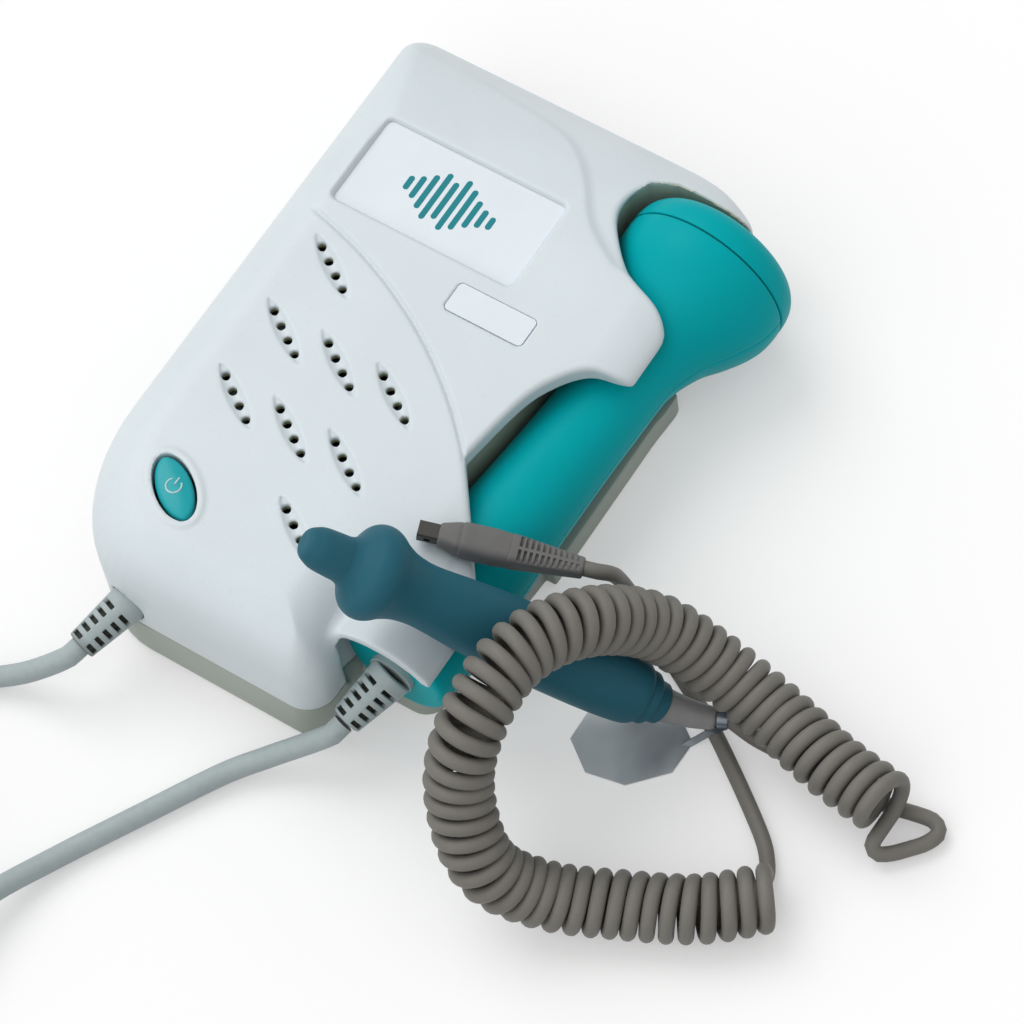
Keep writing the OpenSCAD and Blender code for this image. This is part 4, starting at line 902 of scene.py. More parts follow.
def turned(profile: np.ndarray, place: Matrix, sides: int = 96, span: Pair = (0.0, 360.0),
           lip: float = 0.0) -> Skin:
    """Turns a profile about an axis, all round or part of the way.

    Args:
        profile: Places along the axis and radii, in order along the axis.
        place: Where the form goes, with its axis as Z.
        sides: How many corners a ring has.
        span: The first and the last angle, in degrees.
        lip: How far the border of a part turned form is drawn in, for a mould line.

    Returns:
        Vertices, and faces that face outwards.
    """
    whole = span[1] - span[0] >= 360
    a = np.radians(np.linspace(*span, sides, endpoint=not whole))
    drawn = np.zeros(sides)
    if not whole:
        border = math.radians(0.7) * np.arange(3)
        a = np.concatenate([a[0] + border, a[2:-2], a[-1] - border[::-1]])
        drawn = np.zeros(len(a))
        drawn[[0, -1]] = lip
        drawn[[1, -2]] = lip * 0.25
    rings = [
        np.stack([(r - drawn) * np.cos(a), (r - drawn) * np.sin(a), np.full(len(a), s)], axis=1)
        for s, r in profile
    ]
    return moved(np.concatenate(rings), place), ring_faces(len(profile), len(a))


def standing(start: np.ndarray, way: np.ndarray) -> Matrix:
    """Gives the place of a form whose Z axis starts at a point and runs along a direction."""
    turn = Vector(way).to_track_quat("Z", "Y").to_matrix().to_4x4()
    return Matrix.Translation(Vector(start)) @ turn


# Shader maths


def hue(code: str) -> Colour:
    """Turns a colour's hex code into the linear values that shaders use."""
    parts = [int(code[i:i + 2], 16) / 255 for i in (1, 3, 5)]
    return (*(p / 12.92 if p <= 0.04045 else ((p + 0.055) / 1.055) ** 2.4 for p in parts), 1.0)


def toned(colour: Colour, factor: float, lift: float = 0.0) -> Colour:
    """Makes a colour lighter or darker by a factor, and lifts it evenly."""
    return (*(min(1.0, c * factor + lift) for c in colour[:3]), 1.0)


def maths(operation: str, swapped: bool = False) -> Callable:
    """Makes an operator that puts a Math node on a wire and another value.

    Args:
        operation: What the node does.
        swapped: Whether the other value comes first.

    Returns:
        The operator, as a method for wires.
    """
    def operator(self: "Wire", other: "Wire | float") -> "Wire":
        """Adds the node and gives its output."""
        a, b = (other, self) if swapped else (self, other)
        return self.maker.node("ShaderNodeMath", {"operation": operation}, {0: a, 1: b})

    return operator


class Wire:
    """A shader socket that can stand in sums, differences, products and comparisons."""

    def __init__(self, maker: "Nodes", socket: bpy.types.NodeSocket) -> None:
        """Wraps one output socket of a tree that is being made."""
        self.maker = maker
        self.socket = socket

    __add__ = __radd__ = maths("ADD")
    __mul__ = __rmul__ = maths("MULTIPLY")
    __sub__ = maths("SUBTRACT")
    __rsub__ = maths("SUBTRACT", swapped=True)
    __gt__ = maths("GREATER_THAN")


class Nodes:
    """The nodes of a material or of the world."""

    def __init__(self, tree: bpy.types.NodeTree) -> None:
        """Starts with an empty tree."""
        self.tree = tree
        self.tree.nodes.clear()

    def node(self, kind: str, settings: dict | None = None, inputs: dict | None = None,
             output: int | str = 0) -> Wire:
        """Adds a node.

        Args:
            kind: The node's type.
            settings: What is set on the node itself.
            inputs: Values or wires for its sockets, by name or number.
            output: Which output is wanted.

        Returns:
            That output.
        """
        made = self.tree.nodes.new(kind)
        for key, value in (settings or {}).items():
            setattr(made, key, value)
        for key, value in (inputs or {}).items():
            if isinstance(value, Wire):
                self.tree.links.new(value.socket, made.inputs[key])
            else:
                made.inputs[key].default_value = value
        return Wire(self, made.outputs[output])

    def seen(self) -> Wire:
        """Gives 1 for rays that show something to the eye: straight, mirrored or through glass."""
        names = ("Is Camera Ray", "Is Glossy Ray", "Is Transmission Ray")
        straight, mirrored, through = (self.node("ShaderNodeLightPath", output=name) for name in names)
        settings = {"operation": "ADD", "use_clamp": True}
        return self.node("ShaderNodeMath", settings, {0: straight + mirrored, 1: through})

    def end(self, kind: str, surface: Wire) -> None:
        """Ends the tree in an output node."""
        last = self.tree.nodes.new(kind)
        self.tree.links.new(surface.socket, last.inputs["Surface"])


class Shader(Nodes):
    """One material and the nodes that make it."""

    def __init__(self, name: str) -> None:
        """Starts an empty material."""
        self.material = bpy.data.materials.new(name)
        self.material.use_nodes = True
        super().__init__(self.material.node_tree)

    def here(self) -> Wire:
        """Gives places on the piece, in metres."""
        return self.node("ShaderNodeTexCoord", output="Object")

    def noise(self, size: float, detail: float = 3.0, stretch: Triple = (1.0, 1.0, 1.0)) -> Wire:
        """Adds cloudy noise.

        Args:
            size: The size of its patches in millimetres.
            detail: How many finer layers it has.
            stretch: Scale along each axis.

        Returns:
            A value from 0 to 1.
        """
        where = self.node("ShaderNodeMapping", {}, {"Vector": self.here(), "Scale": stretch})
        return self.node("ShaderNodeTexNoise", {}, {"Vector": where, "Scale": 1000 / size, "Detail": detail})

    def mixed(self, share: Wire, a: Wire | Colour, b: Wire | Colour) -> Wire:
        """Mixes two colours."""
        settings = {"data_type": "RGBA", "clamp_factor": True}
        return self.node("ShaderNodeMix", settings, {0: share, 6: a, 7: b}, 2)

    def wandering(self, middle: float, spread: float, size: float, detail: float) -> Wire:
        """Gives a value that wanders round a middle in patches."""
        return self.noise(size, detail) * spread + (middle - spread / 2)

    def painted(self, colour: Wire, inside: str) -> Wire:
        """Mixes in the finish's inside colour as painted shade where the mesh's inside values say, if the
        finish has one.
        """
        if not inside:
            return colour
        share = self.node("ShaderNodeAttribute", {"attribute_name": "inside"}, output="Fac")
        return self.mixed(share, colour, hue(inside))

    def bump(self, height: Wire, strength: float, depth: float) -> Wire:
        """Makes a normal from heights.

        Args:
            height: Heights from 0 to 1.
            strength: How strongly they show.
            depth: What a height of 1 stands for, in millimetres.

        Returns:
            The normal.
        """
        inputs = {"Height": height, "Strength": strength, "Distance": depth * MM}
        return self.node("ShaderNodeBump", {}, inputs)

    def finished(self, **values: Wire | float | Colour) -> bpy.types.Material:
        """Ends in the surface shader.

        Args:
            **values: Its sockets' values, with _ for spaces in their names.

        Returns:
            The material.
        """
        inputs = {key.replace("_", " "): value for key, value in values.items()}
        self.end("ShaderNodeOutputMaterial", self.node("ShaderNodeBsdfPrincipled", {}, inputs))
        return self.material


@dataclass(frozen=True)
class Moulded:
    """Moulded plastic: a fine grain from its mould, and a little unevenness of tone and gloss."""

    colour: str
    roughness: float = 0.4
    grain: float = 0.35
    relief: float = 0.02
    tone: float = 0.06
    # colour of the painted shade in holes and hollows, mixed in by the mesh's inside values
    inside: str = ""
    mirror: float = 0.4

    def make(self, name: str) -> bpy.types.Material:
        """Makes the material under a name."""
        s = Shader(name)
        base = hue(self.colour)
        colour = s.mixed(s.noise(22.0), toned(base, 1 - self.tone), toned(base, 1 + self.tone))
        speck = s.noise(1.1, 2.0) > 0.66
        colour = s.painted(s.mixed(speck * 0.12, colour, toned(base, 0.8)), self.inside)
        return s.finished(Base_Color=colour, Roughness=s.wandering(self.roughness, 0.12, 9.0, 4.0),
                          Normal=s.bump(s.noise(self.grain, 2.0), 0.5, self.relief),
                          Specular_IOR_Level=self.mirror)


@dataclass(frozen=True)
class Flexible:
    """Soft cord jacket or rubber: a satin surface with darker patches and rubbed, paler spots."""

    colour: str
    roughness: float = 0.55
    shade: str = "#000000"
    # colour of the painted shade in hollows, mixed in by the mesh's inside values
    inside: str = ""

    def make(self, name: str) -> bpy.types.Material:
        """Makes the material under a name."""
        s = Shader(name)
        base = hue(self.colour)
        colour = s.mixed(s.noise(6.0, 4.0), base, toned(base, 1.12, 0.01))
        patches = (1 - s.noise(1.6, 3.0)) * 0.15
        colour = s.painted(s.mixed(patches, colour, hue(self.shade)), self.inside)
        return s.finished(Base_Color=colour, Roughness=s.wandering(self.roughness, 0.14, 4.0, 2.0),
                          Normal=s.bump(s.noise(0.3, 2.0), 0.4, 0.02), Specular_IOR_Level=0.25)


@dataclass(frozen=True)
class Metal:
    """Plated or drawn metal with fine brushing and duller, handled spots."""

    colour: str
    roughness: float = 0.28
    brushing: Triple = (1.0, 12.0, 1.0)

    def make(self, name: str) -> bpy.types.Material:
        """Makes the material under a name."""
        s = Shader(name)
        base = hue(self.colour)
        colour = s.mixed(s.noise(3.0, 4.0), base, toned(base, 0.78))
        lines = s.noise(0.5, 3.0, self.brushing)
        return s.finished(Base_Color=colour, Metallic=1.0, Normal=s.bump(lines, 0.3, 0.01),
                          Roughness=s.wandering(self.roughness, 0.2, 2.0, 3.0))


@dataclass(frozen=True)
class Board:
    """Circuit board: green mask over a grid of tracks, with tinned pads."""

    colour: str = "#1E5A3C"
    track: str = "#2F7A50"
    pad: str = "#B9B7A6"

    def make(self, name: str) -> bpy.types.Material:
        """Makes the material under a name."""
        s = Shader(name)
        mask = hue(self.colour)
        cells = s.node("ShaderNodeTexBrick", {"offset": 0.5}, {
            "Vector": s.here(), "Scale": 240.0, "Mortar Size": 0.06, "Color1": mask, "Color2": mask,
            "Mortar": hue(self.track),
        })
        spots = {"Vector": s.here(), "Scale": 420.0, "Randomness": 0.25}
        pads = 1 - (s.node("ShaderNodeTexVoronoi", {}, spots, "Distance") > 0.16)
        colour = s.mixed(pads, cells, hue(self.pad))
        rough = pads * -0.1 + 0.42
        return s.finished(Base_Color=colour, Roughness=rough, Metallic=pads * 0.8, Coat_Weight=0.3)


@dataclass(frozen=True)
class Film:
    """Thin printed film: a smooth, slightly wavy face with a painted sheen, its colour paler on the crests of
    its waves and along its slope.
    """

    colour: str
    painted_sheen: str
    roughness: float = 0.22
    metallic: float = 0.0
    slope: Triple = (0.0, 0.0, 0.0)
    start: float = 0.5

    def make(self, name: str) -> bpy.types.Material:
        """Makes the material under a name."""
        s = Shader(name)
        wave = s.noise(9.0, 2.0, (1.0, 0.5, 1.0))
        slope = {0: s.here(), 1: self.slope}
        far = s.node("ShaderNodeVectorMath", {"operation": "DOT_PRODUCT"}, slope, "Value")
        # Painted sheen: the colour turns paler on the crests of the waves and along the slope.
        colour = s.mixed(far + (self.start - 0.5) + wave, hue(self.colour), hue(self.painted_sheen))
        return s.finished(Base_Color=colour, Roughness=s.wandering(self.roughness, 0.1, 3.0, 3.0),
                          Metallic=self.metallic, Normal=s.bump(wave, 0.35, 0.08), Coat_Weight=0.3)


class Finish(Enum):
    """The finishes of the part, by the record's material slots and what is added to them."""

    # The inside colour is painted shade: darker olive deep in the sound holes and down the dock.
    case_plastic = Moulded("#D3DCE0", 0.4, inside="#9A9F82")
    back_plastic = Moulded("#A3ABA2", 0.46)
    window_print = Film("#D0D9E0", "#D8E0E7", 0.3)
    print_ink = Moulded("#087F88", 0.4, 0.5, 0.005, mirror=0.2)
    liner_rubber = Flexible("#3B3F40", 0.7)
    steel = Metal("#B4B5B3")
    dark_steel = Metal("#4C4B49", 0.36)
    teal_button = Moulded("#12A2AA", 0.26, mirror=0.25)
    teal_shell = Moulded("#00A5AC", 0.42, 0.3, 0.012, mirror=0.06)
    teal_face = Flexible("#0A8086", 0.5)
    board_green = Board()
    chip_black = Moulded("#222425", 0.5)
    speaker_paper = Flexible("#2B2926", 0.9)
    magnet = Metal("#6E6F70", 0.4)
    pot_blue = Moulded("#2C5C8C", 0.4)
    cell_wrap = Film("#3C6E4A", "#4B8158", 0.3)
    crystal = Film("#C9B88C", "#D8C9A0", 0.35, 0.4)
    # The inside colour is painted shade in the depth of the relief windows.
    cord_grey = Flexible("#A6B1B2", 0.5, inside="#23271F")
    slate_shell = Moulded("#2A6070", 0.44, 0.3, 0.012, mirror=0.08)
    slate_tip = Moulded("#2C6070", 0.46, 0.3, 0.012, mirror=0.08)
    plug_grey = Flexible("#6C6B6A", 0.5)
    wire_grey = Flexible("#74716B", 0.5, shade="#3E3D38")
    relief_grey = Flexible("#8E8F8E", 0.5)
    gold = Metal("#C9A24B", 0.22)
    # Painted sheen: the label fades from dark grey to pale along its slope, like a reflection sweeping over
    # it.
    label_film = Film("#5F6B76", "#DDE2E5", 0.22, 0.3, (-24.5, -33.7, 0.0), 1.25)
    symbol_white = Moulded("#BFD8DA", 0.4, 0.5, 0.005)

    @property
    def material(self) -> bpy.types.Material:
        """The material, made on first use."""
        name = "doppler_" + self.name
        return bpy.data.materials.get(name) or self.value.make(name)


@dataclass
class Studio:
    """Camera, lamps and the pale floor."""

    azimuth: float = 42.0
    elevation: float = 61.5
    roll: float = -10.5
    distance: float = 0.9
    aim: Triple = (0.02566, -0.00612, 0.0)
    focal: float = 4527.0
    picture: int = 1024
    key_from: Triple = (-0.8, 0.9, 1.6)
    key_share: float = 0.3
    key_spread: float = 45.0
    low_from: Triple = (-0.9, -0.8, 1.1)
    low_share: float = 0.14
    low_spread: float = 60.0
    sky: float = 0.56
    floor_albedo: float = 0.66
    floor_size: float = 4.0
    floor_drop: float = 0.0002
    sensor: float = 36.0

    def axes(self) -> tuple[Vector, Vector, Vector]:
        """Gives the camera's right, up and back."""
        a, e, r = (math.radians(d) for d in (self.azimuth, self.elevation, self.roll))
        back = Vector((math.sin(a) * math.cos(e), -math.cos(a) * math.cos(e), math.sin(e)))
        side = Vector((math.cos(a), math.sin(a), 0.0))
        rise = Vector((-math.sin(e) * math.sin(a), math.sin(e) * math.cos(a), math.cos(e)))
        return math.cos(r) * side + math.sin(r) * rise, math.cos(r) * rise - math.sin(r) * side, back

    def camera(self) -> None:
        """Stands the camera where the photograph was taken from."""
        right, up, back = self.axes()
        data = bpy.data.cameras.new("camera")
        data.sensor_width = self.sensor
        data.lens = self.focal * self.sensor / self.picture
        data.clip_end = 50.0
        obj = bpy.data.objects.new("camera", data)
        turn = Matrix((right, up, back)).transposed().to_4x4()
        obj.matrix_world = Matrix.Translation(Vector(self.aim) + self.distance * back) @ turn
        bpy.context.scene.collection.objects.link(obj)
        bpy.context.scene.camera = obj

    def lamp(self, name: str, stand: Triple, share: float, spread: float) -> None:
        """Adds one lamp.

        Args:
            name: Its name.
            stand: How far it stands to the right and up in the picture, and how high over the floor.
            share: How bright it makes a level white surface.
            spread: The angle that it fills, in degrees.
        """
        right, up, _ = self.axes()
        side = Vector((right.x, right.y, 0)).normalized()
        away = Vector((up.x, up.y, 0)).normalized()
        way = (stand[0] * side + stand[1] * away + Vector((0, 0, stand[2]))).normalized()
        data = bpy.data.lights.new(name, "SUN")
        data.energy = math.pi * share / way.z
        data.angle = math.radians(spread)
        obj = bpy.data.objects.new(name, data)
        obj.matrix_world = way.to_track_quat("Z", "Y").to_matrix().to_4x4()
        bpy.context.scene.collection.objects.link(obj)

    def world(self) -> None:
        """Fills the room with even light, white where it is seen or mirrored."""
        world = bpy.data.worlds.new("room")
        world.use_nodes = True
        room = Nodes(world.node_tree)
        strength = room.seen() * (1.0 - self.sky) + self.sky
        light = room.node("ShaderNodeBackground", {}, {"Color": (1.0, 1.0, 1.0, 1.0), "Strength": strength})
        room.end("ShaderNodeOutputWorld", light)
        bpy.context.scene.world = world

    def floor(self) -> None:
        """Lays the floor that catches the shadow."""
        s = Shader("floor")
        lift = 1.0 - self.floor_albedo
        glow = s.mixed(s.seen(), (0.0, 0.0, 0.0, 1.0), (lift, lift, lift, 1.0))
        level = self.floor_albedo * (1.0 + s.noise(180.0, 2.0) * 0.004)
        colour = s.node("ShaderNodeCombineColor", {}, {"Red": level, "Green": level, "Blue": level})
        material = s.finished(Base_Color=colour, Roughness=1.0, IOR=1.0, Emission_Color=glow,
                              Emission_Strength=1.0)
        size, low = self.floor_size, -self.floor_drop
        corners = np.array([(x * size, y * size, low) for x, y in ((-1, -1), (1, -1), (1, 1), (-1, 1))])
        obj = piece("floor", (corners, [(0, 1, 2, 3)]), scale=1.0)
        obj.data.materials.append(material)

    def build(self) -> None:
        """Sets up the whole studio."""
        bpy.context.scene.view_settings.view_transform = "Standard"
        self.camera()
        self.world()
        self.lamp("key", self.key_from, self.key_share, self.key_spread)
        self.lamp("low", self.low_from, self.low_share, self.low_spread)
        self.floor()


@dataclass
class GreyCord:
    """Smooth grey cord from the case, round the put-away coil and back to the fetal probe, in metres."""

    diameter: float = 0.0044
    case_relief_l: float = 0.0124
    fetal_relief_l: float = 0.013
    coil_at: Pair = (-0.045, -0.150)
    coil_mid_r: float = 0.0303
    coil_step: float = 0.00495
    coil_z: float = 0.00225
    loops: int = 8

    def coil(self) -> np.ndarray:
        """Winds the coil: half the turns inwards, a reversal upwards, the rest outwards on top of them."""
        turns = self.loops / 2 * 360
        a = np.arange(10, self.loops * 360 + 171, 10.0)
        radius = self.coil_mid_r - self.coil_step * np.minimum(a, 2 * turns + 180 - a) / 360
        height = self.coil_z + self.coil_step * np.clip((a - turns) / 180, 0.0, 1.0)
        way = np.radians(180 + a)
        x, y = self.coil_at
        return np.stack([x + radius * np.cos(way), y + radius * np.sin(way), height], axis=1)

    def leaving(self, outlet: Exit, relief_l: float) -> list[np.ndarray]:
        """Gives the first points of the cord past a strain relief."""
        start = np.array(outlet.at) * MM + relief_l * outlet.way
        return stepped(start, outlet.way, 0.0, 0.0015, 0.003)

    def path(self) -> np.ndarray:
        """Joins the case's stretch, the coil and the probe's stretch into one centreline."""
        x, y = self.coil_at
        r, low, high = self.coil_mid_r, self.coil_z, self.coil_z + self.coil_step
        case_side = curve_through([
            *self.leaving(CASE_EXIT, self.case_relief_l),
            (-0.0315, -0.084, 0.009), (-0.037, -0.087, 0.005), (-0.044, -0.091, 0.0029),
            (-0.054, -0.097, 0.0024), (-0.068, -0.110, 0.0023), (x - r + 0.0001, y + 0.020, low),
            (x - r, y + 0.010, low), (x - r, y + 0.0044, low), (x - r, y, low),
        ], 8)
        probe_side = curve_through([
            *self.leaving(FETAL_EXIT, self.fetal_relief_l),
            (0.022, -0.072, 0.009), (0.0155, -0.077, 0.005), (0.009, -0.084, 0.0029),
            (0.0, -0.099, 0.0024), (-0.009, -0.115, 0.0027), (x + r, y + 0.020, low + 0.8 * self.coil_step),
            (x + r, y + 0.010, high), (x + r, y + 0.0044, high), (x + r, y, high),
        ], 8)
        return resampled(np.vstack([case_side, self.coil(), probe_side[::-1]]), 0.0016)

    def build(self) -> bpy.types.Object:
        path = self.path()
        nodes = ("case_cord", "cord_coil", "fetal_cord")
        cord = piece("grey_cord", swept(path, self.diameter / 2), "", Finish.cord_grey, nodes, scale=1.0)
        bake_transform(cord)
        return cord


@dataclass
class CurlyCord:
    """Vascular probe's cord: a plug lead, a long curled stretch over the case and a plain end."""

    plug: "Plug"
    diameter: float = 0.0031
    outer: float = 0.0136
    curls: int = 56
    steps: int = 26
    probe_start: Triple = (0.0856, -0.0264, 0.0052)
    probe_turn: float = 23.1
    probe_slope: float = 0.5
    gap: float = 0.0012

    @property
    def probe_way(self) -> np.ndarray:
        """The direction in which the cord leaves the vascular probe's relief."""
        return direction(self.probe_turn, self.probe_slope)

    def curled(self) -> np.ndarray:
        """Winds the curled stretch about its route."""
        route = resampled(curve_through([
            (0.1146, -0.0534, 0.007), (0.1047, -0.0621, 0.0071), (0.0916, -0.0689, 0.0071),
            (0.0779, -0.0757, 0.0097), (0.0676, -0.0786, 0.0178), (0.0596, -0.0723, 0.030),
            (0.0577, -0.063, 0.0404), (0.0582, -0.0485, 0.0434), (0.0637, -0.035, 0.039),
            (0.0715, -0.024, 0.0264), (0.0835, -0.021, 0.0162), (0.097, -0.022, 0.011),
            (0.1116, -0.0254, 0.0102), (0.125, -0.0273, 0.0104),
        ], 8), 0.0005)
        count = round((self.curls - 0.25) * self.steps)
        places, runs = np.linspace(0, len(route) - 1, count + 1), np.arange(len(route))
        centre = picked(places, runs, route)
        along = unit(picked(places, runs, unit(np.gradient(route, axis=0))))
        side = unit(np.cross(along, [0.0, 0.0, 1.0]))
        up = np.cross(side, along)
        a = np.radians(360 / self.steps * np.arange(count + 1))[:, None]
        reach = (self.outer - self.diameter) / 2
        return centre + reach * (np.cos(a) * side + np.sin(a) * up)

    def lead(self, first: np.ndarray, way: np.ndarray) -> np.ndarray:
        """Runs from the plug under the curls to their start."""
        return curve_through([
            *stepped(self.plug.end * MM, self.plug.way, -0.002, 0.0006, 0.0027),
            (0.0601, -0.0198, 0.0297), (0.0606, -0.0181, 0.0247), (0.063, -0.017, 0.016),
            (0.066, -0.0168, 0.007), (0.0706, -0.0188, 0.0023), (0.0773, -0.0223, 0.0016),
            (0.085, -0.0268, 0.0016), (0.0942, -0.0332, 0.0016), (0.1024, -0.0393, 0.0016),
            (0.1068, -0.043, 0.0017), (0.1094, -0.0462, 0.0018), (0.1105, -0.0482, 0.0022),
            (0.111, -0.0493, 0.0036), *stepped(first, way, -0.0018, -0.0009),
        ], 8)

    def tail(self, last: np.ndarray, way: np.ndarray) -> np.ndarray:
        """Runs from the vascular probe to the curls' end."""
        return curve_through([
            *stepped(np.array(self.probe_start), self.probe_way, -0.001, 0.0015, 0.003),
            (0.094, -0.0254, 0.0034), (0.101, -0.0248, 0.0019), (0.110, -0.0248, 0.0017),
            (0.118, -0.0245, 0.0017), (0.124, -0.0238, 0.0018), (0.128, -0.023, 0.002),
            (0.132, -0.0226, 0.0022), (0.134, -0.0244, 0.0023), (0.133, -0.0274, 0.0024),
            (0.1308, -0.0301, 0.0025), (0.1286, -0.0325, 0.0026), (0.1264, -0.0342, 0.0032),
            (0.1249, -0.0335, 0.0043), *stepped(last, way, 0.0036, 0.0018, 0.0),
        ], 8)

    def build(self, with_pieces: list) -> tuple[bpy.types.Object, bpy.types.Object]:
        """Args:
            with_pieces: The plug's pieces, which lie on the cord. Not used.

        Returns:
            The curled stretch with its lead, and the plain stretch at the probe.
        """
        turns = self.curled()
        first, final = unit(turns[1] - turns[0]), unit(turns[-1] - turns[-2])
        lead = self.lead(turns[0], first)
        tail = self.tail(turns[-1] + 0.0008 * final, final)
        split = int(np.argmax(tail[:, 0] > 0.1245))
        path = resampled(np.vstack([lead, turns, tail[split:][::-1]]), self.gap)
        end = resampled(tail[:split + 1], self.gap)
        wire, bare = (swept(p, self.diameter / 2, 16) for p in (path, end))
        nodes = ("curly_cord", "plug_cord")
        cord = piece("curly_cord_wire", wire, "case", Finish.wire_grey, nodes, scale=1.0)
        plain = piece("probe_wire", bare, "", Finish.wire_grey, ("pencil_cord",), scale=1.0)
        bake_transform(plain)
        return cord, plain


@dataclass
class SlottedRelief:
    """Tapered strain relief with rows of windows that let it bend."""

    name: str
    node: str
    body: str
    outlet: Exit
    length: float = 12.4
    start_r: float = 4.0
    end_r: float = 3.1
    core_r: float = 2.5
    cord_r: float = 2.25
    rows: int = 5
    pitch: float = 2.1
    window: float = 0.95
    rib: float = 0.95
    roll: float = math.radians(20.0)
    collar: float = 1.4
    root: float = -3.0
    room: float = 5.2

    def form(self, block: Block) -> np.ndarray:
        """Forms a cone along X with four rows of windows, and the core that the cord runs in."""
        x, y, z = block.x, block.y, block.z
        radial = np.hypot(y, z)
        u, v = rotated(y, z, self.roll)
        reach = np.interp(x, [0.0, self.length], [self.start_r, self.end_r])
        form = common(radial - reach, between(x, self.root, self.length), 0.35)
        first = (self.length - self.pitch * (self.rows - 1)) / 2 + self.collar / 2
        windows = [np.abs(x - first - k * self.pitch) - self.window / 2 for k in range(self.rows)]
        ribs = np.minimum(np.abs(u - v), np.abs(u + v)) / math.sqrt(2) - self.rib
        form = cut(form, overlap(reduce(np.minimum, windows), -ribs, self.core_r - radial), 0.12)
        form = np.minimum(form, np.maximum(radial - self.core_r, between(x, self.root, self.length - 0.5)))
        return cut(form, np.maximum(radial - self.cord_r, self.length - 1.2 - x), 0.2)

    def build(self) -> bpy.types.Object:
        """Moulds the relief and paints shade into the depth of its windows."""
        low, high = (self.root, -self.room, -self.room), (self.length, self.room, self.room)
        block = Block.around(low, high, 0.15)
        vertices, faces = block.skin(self.form(block))
        start, way = np.array(self.outlet.at), self.outlet.way
        vertices = moved(vertices, standing(start, way) @ Matrix.Rotation(-math.pi / 2, 4, "Y"))
        relief = piece(self.name, (vertices, faces), self.body, Finish.cord_grey, (self.node,))
        # Painted shade: vertices near the core take the cord finish's dark inside colour, so the windows look
        # deep.
        away = vertices - start
        radial = np.sqrt(np.maximum((away**2).sum(1) - (away @ way) ** 2, 0.0))
        paint(relief, "inside", np.clip((self.core_r + 0.75 - radial) / 0.4, 0, 1))
        return relief


@dataclass
class FetalProbe:
    """Teal fetal probe in the dock: two halves, a ring at their seam, a cap and a face. The collar for its
    cord is made as a slotted relief.
    """

    at: Places = PLACES
    mould_lip: float = 0.22
    handle_profile: tuple[Pair, ...] = (
        (0.0, 10.4), (0.4, 11.1), (1.4, 11.6), (3.0, 11.86), (7.0, 11.98), (12.0, 11.95), (18.0, 11.65),
        (25.0, 11.24), (32.0, 10.8), (40.0, 10.32), (50.0, 9.82), (60.0, 9.44), (70.0, 9.24), (76.0, 9.1),
        (79.0, 9.3), (82.0, 9.95), (85.0, 10.95), (88.0, 12.25), (92.0, 14.7), (96.0, 16.8), (99.0, 17.9),
        (101.5, 18.28), (103.6, 18.3), (104.1, 18.12),
    )
    cap_profile: tuple[Pair, ...] = (
        (104.45, 18.05), (104.75, 18.27), (106.5, 18.15), (108.5, 17.6), (110.2, 16.4), (111.2, 15.0),
        (111.8, 13.4), (112.05, 11.8),
    )

    def build(self) -> None:
        """Makes the probe's shells."""
        place, body = self.at.docked(), "fetal_probe"
        handle = curve_through(list(self.handle_profile), 5)
        handle = closed(np.vstack([[(0.0, 9.6)], handle, [(104.1, 17.4)]]))
        for half, low in (("upper", 180.0), ("lower", 0.0)):
            skin = turned(handle, place, 90, (low, low + 180.0), self.mould_lip)
            piece(f"fetal_{half}_half", skin, body, Finish.teal_shell, (f"fetal_{half}",))
        neck = closed(((103.9, 17.5), (104.6, 17.5)))
        piece("fetal_seam_core", turned(neck, place), body, Finish.liner_rubber)
        cap = curve_through(list(self.cap_profile), 6)
        cap = closed(np.vstack([[(104.45, 17.3)], cap, [(111.9, 11.35), (111.4, 11.3)]]))
        piece("fetal_cap_shell", turned(cap, place, 120), body, Finish.teal_shell, ("fetal_cap",))
        dome = [(112.1 + 0.85 * math.sin(a), 10.8 * math.cos(a)) for a in np.radians(np.arange(4, 90, 6))]
        dome = [(111.3, AXIS_R), (111.3, 11.1), (112.1, 11.0), *dome, (112.95, AXIS_R)]
        piece("fetal_lens", turned(np.array(dome), place), body, Finish.teal_face, ("fetal_face",))


